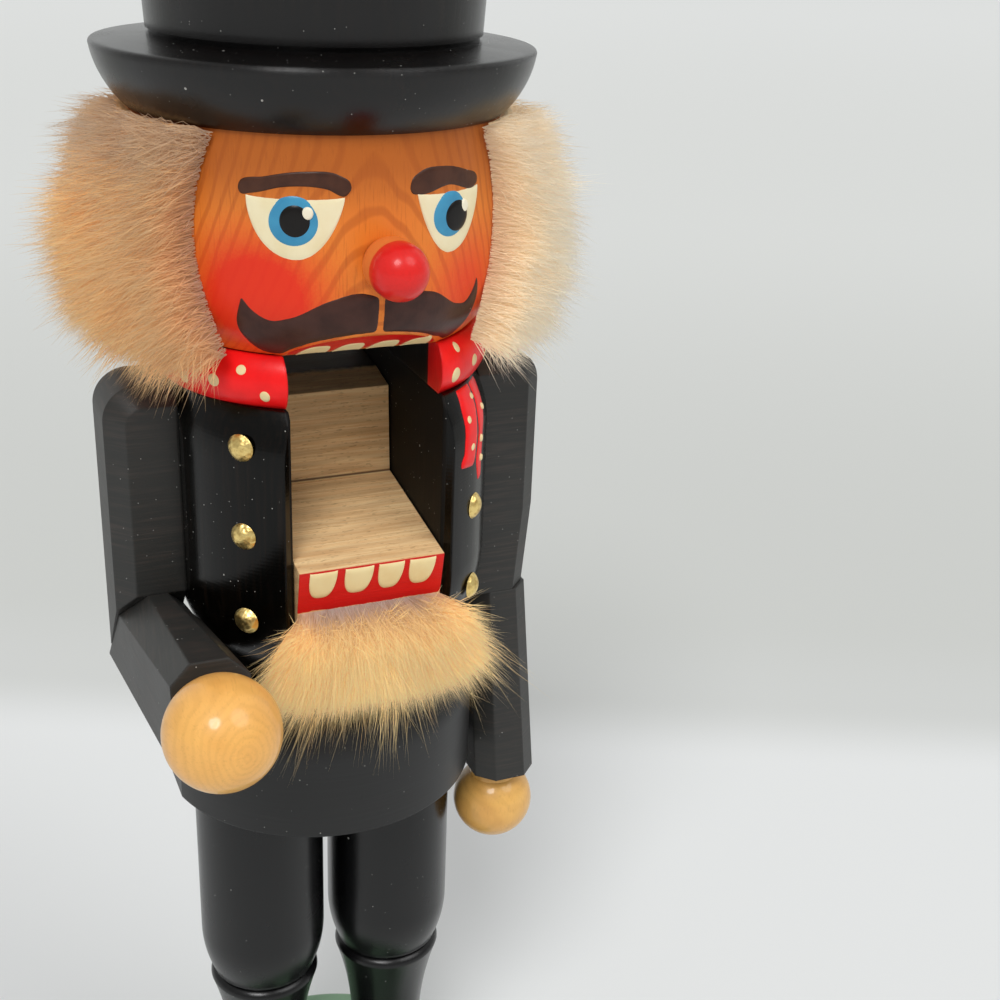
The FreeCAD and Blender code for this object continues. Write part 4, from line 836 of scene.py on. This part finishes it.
def hair(name, side, start, end, count, finish, seed, width=0.17, longer=1.0, loose=1.0, replaces=(),
         stations=(0.0, 0.5)):
    """Hair round one side of the head, from a part start to a part end of the way to the back.

    It grows in tufts, rooted a little more than half way into the pelt. A strand stands out by up to
    8 + 12 sin(pi (up + 6) / 52) mm from the seat and by at least 3.5 mm from its root, falls by about
    1.5 + 4 (1 - up / 46) mm and is swept back near the hair's front edge; loose scales its disorder."""
    dice = np.random.default_rng(seed)
    tufts = max(count // TUFT_HAIRS, LEAST_TUFTS)
    up = HAIR_LOW + (HAIR_HIGH - HAIR_LOW) * dice.random(tufts)
    part = start + (end - start) * dice.random(tufts)
    lean = dice.normal(0, 1, (tufts, 3))
    reach = dice.uniform(0.74, 1.07, tufts)
    shade = dice.uniform(0, 1, tufts)
    owner = dice.integers(0, tufts, count)
    up = np.clip(up[owner] + dice.normal(0, 1.7, count), HAIR_LOW, HAIR_HIGH)
    edge = hair_edge(side, up)
    angle = edge + (np.pi - edge) * part[owner] + dice.normal(0, 0.05, count)
    angle = edge + np.abs(angle - edge)
    out = np.stack([side * np.sin(angle), -np.cos(angle), 0 * angle], -1)
    back = np.stack([side * np.cos(angle), np.sin(angle), 0 * angle], -1)
    deep = 0.55 * pelt_depth(up) * np.clip((angle - edge - PELT_START) / PELT_RISE, 0, 1)
    roots = out * (HAIR_SEAT + deep)[:, None]
    roots[:, 2] = HEAD_FOOT + up
    stand = (8 + 12 * np.sin(np.pi * np.clip((up + 6) / 52, 0, 1))) * reach[owner] * longer
    stand *= dice.uniform(0.45, 1.04, count) ** 0.6
    near_edge = np.exp(-(angle - edge) / EDGE_FALL)
    stand = np.maximum(stand * (1 - 0.25 * near_edge) - deep, 3.5)
    drop = (1.5 + 4 * (1 - up / 46)) * dice.uniform(0.4, 1.3, count)
    sweep = 5 * near_edge
    spread = (lean[owner] * 2.4 + dice.normal(0, 1.15, (count, 3))) * loose
    tips = roots + out * stand[:, None] + back * sweep[:, None] + spread
    tips[:, 2] -= drop
    tips[:, 2] = np.minimum(tips[:, 2], HEAD_FOOT + HAIR_HIGH + 1.5)
    bends = roots + out * (0.6 * stand)[:, None] + back * (0.3 * sweep)[:, None] + 0.35 * spread
    bends += dice.normal(0, 0.9, (count, 3)) * loose
    bends[:, 2] -= 0.1 * drop
    tone = np.clip(0.5 * shade[owner] + 0.5 * dice.random(count), 0, 1)
    zone = np.maximum(ramp(up + dice.normal(0, 3, count), 28, 43), 0.6 * near_edge)
    widths = width * dice.uniform(0.75, 1.3, count)
    strands(name, roots, bends, tips, widths, tone, zone, finish, "root", replaces, stations)


HAIR_COUNT = 17500
hair("hair_left_front", -1, 0.0, 0.26, HAIR_COUNT, finishes["hair_fur"], 11, replaces=("hair_fur",))
hair("hair_left_side", -1, 0.24, 0.6, HAIR_COUNT, finishes["hair_fur"], 12)
hair("hair_left_back", -1, 0.58, 1.0, HAIR_COUNT, finishes["hair_fur"], 13)
hair("hair_right_front", 1, 0.0, 0.26, HAIR_COUNT, cream_fur, 14)
hair("hair_right_side", 1, 0.24, 0.6, HAIR_COUNT, cream_fur, 15)
hair("hair_right_back", 1, 0.58, 1.02, HAIR_COUNT, cream_fur, 16)
hair("hair_left_wisps", -1, 0.0, 1.0, 900, finishes["hair_fur"], 17, width=0.1, loose=1.7, **WISP)
hair("hair_right_wisps", 1, 0.0, 1.0, 900, cream_fur, 18, width=0.1, loose=1.7, **WISP)


def pelt(name, side, finish):
    """The felted under-fur: a closed strip round the head, as thick as pelt_depth says, thin at its
    front and back edges and a little uneven."""
    rows, columns = 24, 90
    dice = np.random.default_rng(5)
    up = np.linspace(HAIR_LOW - 0.5, HAIR_HIGH + 0.5, rows)[:, None] + np.zeros(columns)
    part = np.linspace(0, 1, columns)[None, :]
    edge = hair_edge(side, up)
    angle = edge + PELT_START + (np.pi + PELT_PAST - PELT_START - edge) * part
    closing = np.minimum(np.clip(part * 5, 0, 1) ** 0.8, np.clip((1 - part) * 24, 0, 1) ** 0.5)
    thick = 0.15 + (pelt_depth(up) + 0.9 * dice.random((rows, columns))) * closing
    reach = np.concatenate([HAIR_SEAT - 0.1 + thick, np.full((rows, columns), HAIR_SEAT - 0.15)])
    angle = np.concatenate([angle, angle[::-1]])
    up = np.concatenate([up, up[::-1]])
    points = np.stack([side * reach * np.sin(angle), -reach * np.cos(angle), HEAD_FOOT + up], -1)
    piece(name, [(points, grid_quads(2 * rows, columns, round_rows=True))], finish)


def hide(name, dark, pale, through):
    """Felted skin under fur, which glows like the fur: painted light for the light that comes through it."""
    finish = Finish(name, Emission_Strength=through)
    locks = finish.noise((0.6, 0.6, 3.5), detail=3, rough=0.65)
    colour = finish.layers(dark, (locks.rise(0.3, 0.7), pale))
    return finish.set(Base_Color=colour, Emission_Color=colour, Roughness=0.9, Normal=finish.bump(locks, 0.5))


pelt("hair_pelt_left", -1, hide("left_hide", (206, 150, 100), (232, 178, 122), 0.15))
pelt("hair_pelt_right", 1, hide("right_hide", (226, 190, 144), (246, 220, 178), 0.16))

# the beard: half the width of the chin it grows on, the top and foot of its roots, how far forward
# they sit, and the height of its lowest tips
BEARD_SIDE = 15.8
BEARD_TOP, BEARD_ROOTS_LOW = 197.0, 186.5
BEARD_SEAT_Y = -36.4
BEARD_END = 173.2


def beard(name, low, high, count, seed, width=0.19, longer=1.0, loose=1.0, replaces=(), stations=(0.0, 0.5)):
    """Fur under the jaw: strands fan out by about 50 degrees to each side of the chin and fall to
    one arch, BEARD_END + 12 (1 - cos fan). low and high are the parts of the chin's height they
    grow from, and the dark zone is near its top."""
    dice = np.random.default_rng(seed)
    tufts = max(count // TUFT_HAIRS, LEAST_TUFTS)
    place = dice.uniform(-1, 1, tufts)
    level = low + (high - low) * dice.random(tufts)
    lean = dice.normal(0, 1, (tufts, 3))
    reach = dice.uniform(0.74, 1.06, tufts)
    shade = dice.random(tufts)
    owner = dice.integers(0, tufts, count)
    place = np.clip(place[owner] + dice.normal(0, 0.09, count), -1, 1)
    level = np.clip(level[owner] + dice.normal(0, 0.08, count), 0, 1)
    roots = np.stack([place * BEARD_SIDE, BEARD_SEAT_Y - 0.2 + 0 * place,
                      BEARD_ROOTS_LOW + level * (BEARD_TOP - BEARD_ROOTS_LOW)], -1)
    fan = np.radians(50 * place + dice.normal(0, 8, count))
    fall = (roots[:, 2] - BEARD_END - 12 * (1 - np.cos(fan))) / np.maximum(np.cos(fan), 0.75)
    length = np.maximum(fall, 9) * reach[owner] * dice.uniform(0.4, 0.99, count) ** 0.55 * longer
    forward = (4.5 + 7 * level) * dice.uniform(0.7, 1.25, count)
    spread = (lean[owner] * 1.9 + dice.normal(0, 0.95, (count, 3))) * loose
    run = np.stack([np.sin(fan) * 0.86, 0 * fan, -np.cos(fan)], -1)
    tips = roots + run * length[:, None] + spread
    tips[:, 1] = np.minimum(BEARD_SEAT_Y - forward + spread[:, 1], BEARD_SEAT_Y - 2.5)
    bends = roots + run * (0.42 * length)[:, None] + 0.3 * spread + dice.normal(0, 0.7, (count, 3)) * loose
    bends[:, 1] = BEARD_SEAT_Y - 1.05 * forward
    tone = np.clip(0.5 * shade[owner] + 0.5 * dice.random(count), 0, 1)
    zone = ramp(level + dice.normal(0, 0.06, count), 0.66, 0.86) * (1 - 0.55 * ramp(np.abs(place), 0.6, 1.0))
    widths = width * dice.uniform(0.75, 1.3, count)
    strands(name, roots, bends, tips, widths, tone, zone, finishes["beard_fur"], "lever",
            replaces, stations, fade=1.0)


beard("beard_under", 0.0, 0.4, 15000, 21, replaces=("beard_fur",))
beard("beard_middle", 0.35, 0.8, 17500, 22)
beard("beard_top", 0.76, 1.0, 15000, 23, longer=0.5, loose=1.5)
beard("beard_wisps", 0.2, 1.0, 1300, 24, width=0.09, loose=2.4, **WISP)


def chin_skin():
    """The felted under-fur of the beard: a closed pad from the chin down, widening by half and
    standing further forward as it falls; its foot is the arch BEARD_END + 9 + 6 x^2."""
    rows, columns = 24, 50
    x = np.linspace(-1, 1, columns)[None, :] + 0 * np.zeros((rows, 1))
    up = np.linspace(0, 1, rows)[:, None] + 0 * x
    swell = np.sqrt(np.clip(1 - x ** 4, 0, 1)) * np.sqrt(np.clip(1 - (2 * up - 1) ** 6, 0, 1))
    foot = BEARD_END + 9 + 6 * x * x
    height = foot + up * (BEARD_TOP - 1.0 - foot)
    wide = BEARD_SIDE * (1 + 0.5 * (1 - up))
    back = BEARD_SEAT_Y - 0.2 - 4.2 * (1 - up) ** 2
    front = back - 0.3 - 5.0 * swell * (1 - 0.55 * up)
    points = np.concatenate([np.stack([x * wide, front, height], -1),
                             np.stack([x * wide, back, height], -1)[::-1]])
    piece("beard_skin", [(points, grid_quads(2 * rows, columns, round_rows=True))],
          hide("beard_hide", (206, 152, 92), (244, 194, 122), 0.34), "lever")


chin_skin()


# Floor, light and camera.

FLOOR_HALF = 12000.0 * MM
floor_mesh = bpy.data.meshes.new("floor")
floor_mesh.from_pydata([(x * FLOOR_HALF, y * FLOOR_HALF, 0) for x, y in ((-1, -1), (1, -1), (1, 1), (-1, 1))],
                       [], [(0, 1, 2, 3)])
floor = bpy.data.objects.new("floor", floor_mesh)
bpy.context.scene.collection.objects.link(floor)
# where the photographer stood, and which way they looked, in degrees
CAMERA_PLACE = (-91.3, -309.1, 347.7)
CAMERA_HEADING, CAMERA_DIP, CAMERA_ROLL = 24.15, 23.53, 2.45

# pale flat paper whose tone is painted by distance from the middle, along the view: a soft fold
# across it behind the figure and a darker stretch beyond the fold are painted shade, and far off it
# takes the backdrop's tone; each tone is reached between two distances
BACKDROP = (223, 225, 224)
PAPER_TONES = ((206, 258, (209, 211, 209)), (258, 340, (205, 207, 204)), (340, 1300, (218, 220, 218)),
               (1300, 4200, BACKDROP))
paper = Finish("paper", Specular_IOR_Level=0.1, Roughness=0.9)
px, py, pz = paper.x_y_z()
away = px * math.sin(math.radians(CAMERA_HEADING)) + py * math.cos(math.radians(CAMERA_HEADING))
tone = paper.layers((229, 231, 231), *((away.rise(near, far), colour) for near, far, colour in PAPER_TONES))
floor_mesh.materials.append(paper.set(Base_Color=tone))

# plain studio light, with the pale backdrop mirrored from behind, and two wide soft lamps in front
world = bpy.data.worlds.new("studio")
bpy.context.scene.world = world
world.use_nodes = True
studio = Nodes(world.node_tree)
heading = studio.apart(studio.node("TexCoord").outputs["Generated"])
above = heading[2].rise(-0.1, 0.9)
sky = studio.node("Background", None, {"Color": (1.0, 1.0, 0.995, 1), "Strength": 0.40 + 0.06 * above})
seen = studio.node("Background", None, {"Color": paint(BACKDROP)})
kinds = studio.node("LightPath").outputs
behind = (heading[0] * 0.41 + heading[1] * 0.91).rise(0.1, 0.7)
mirrored = Amount(studio, kinds["Is Glossy Ray"]) * behind
seen_part = (Amount(studio, kinds["Is Camera Ray"]) + mirrored).limited()
both = studio.node("MixShader", None, {0: seen_part, 1: sky.outputs[0], 2: seen.outputs[0]})
studio.feed(studio.tree.nodes["World Output"], {"Surface": both.outputs[0]})


def lamp(name, toward, width, strength):
    """A far soft lamp that stands in a direction and is width degrees across."""
    light = bpy.data.lights.new(name, "SUN")
    light.angle = math.radians(width)
    light.energy = strength
    thing = bpy.data.objects.new(name, light)
    thing.location = Vector(toward)
    thing.rotation_euler = Vector(toward).to_track_quat("Z", "Y").to_euler()
    bpy.context.scene.collection.objects.link(thing)


lamp("left_lamp", (-0.35, -0.55, 0.76), 22, 1.5)
lamp("right_lamp", (0.45, -0.50, 0.74), 34, 0.8)

camera = bpy.data.cameras.new("camera")
camera.sensor_width, camera.lens = 36.0, 51.98
camera.clip_start, camera.clip_end = 0.01, 50.0
viewer = bpy.data.objects.new("camera", camera)
viewer.matrix_world = (Matrix.Translation(Vector(CAMERA_PLACE) * MM)
                       @ Matrix.Rotation(math.radians(-CAMERA_HEADING), 4, "Z")
                       @ Matrix.Rotation(math.radians(90 - CAMERA_DIP), 4, "X")
                       @ Matrix.Rotation(math.radians(CAMERA_ROLL), 4, "Z"))
bpy.context.scene.collection.objects.link(viewer)
bpy.context.scene.camera = viewer
bpy.context.scene.view_settings.view_transform = "Standard"
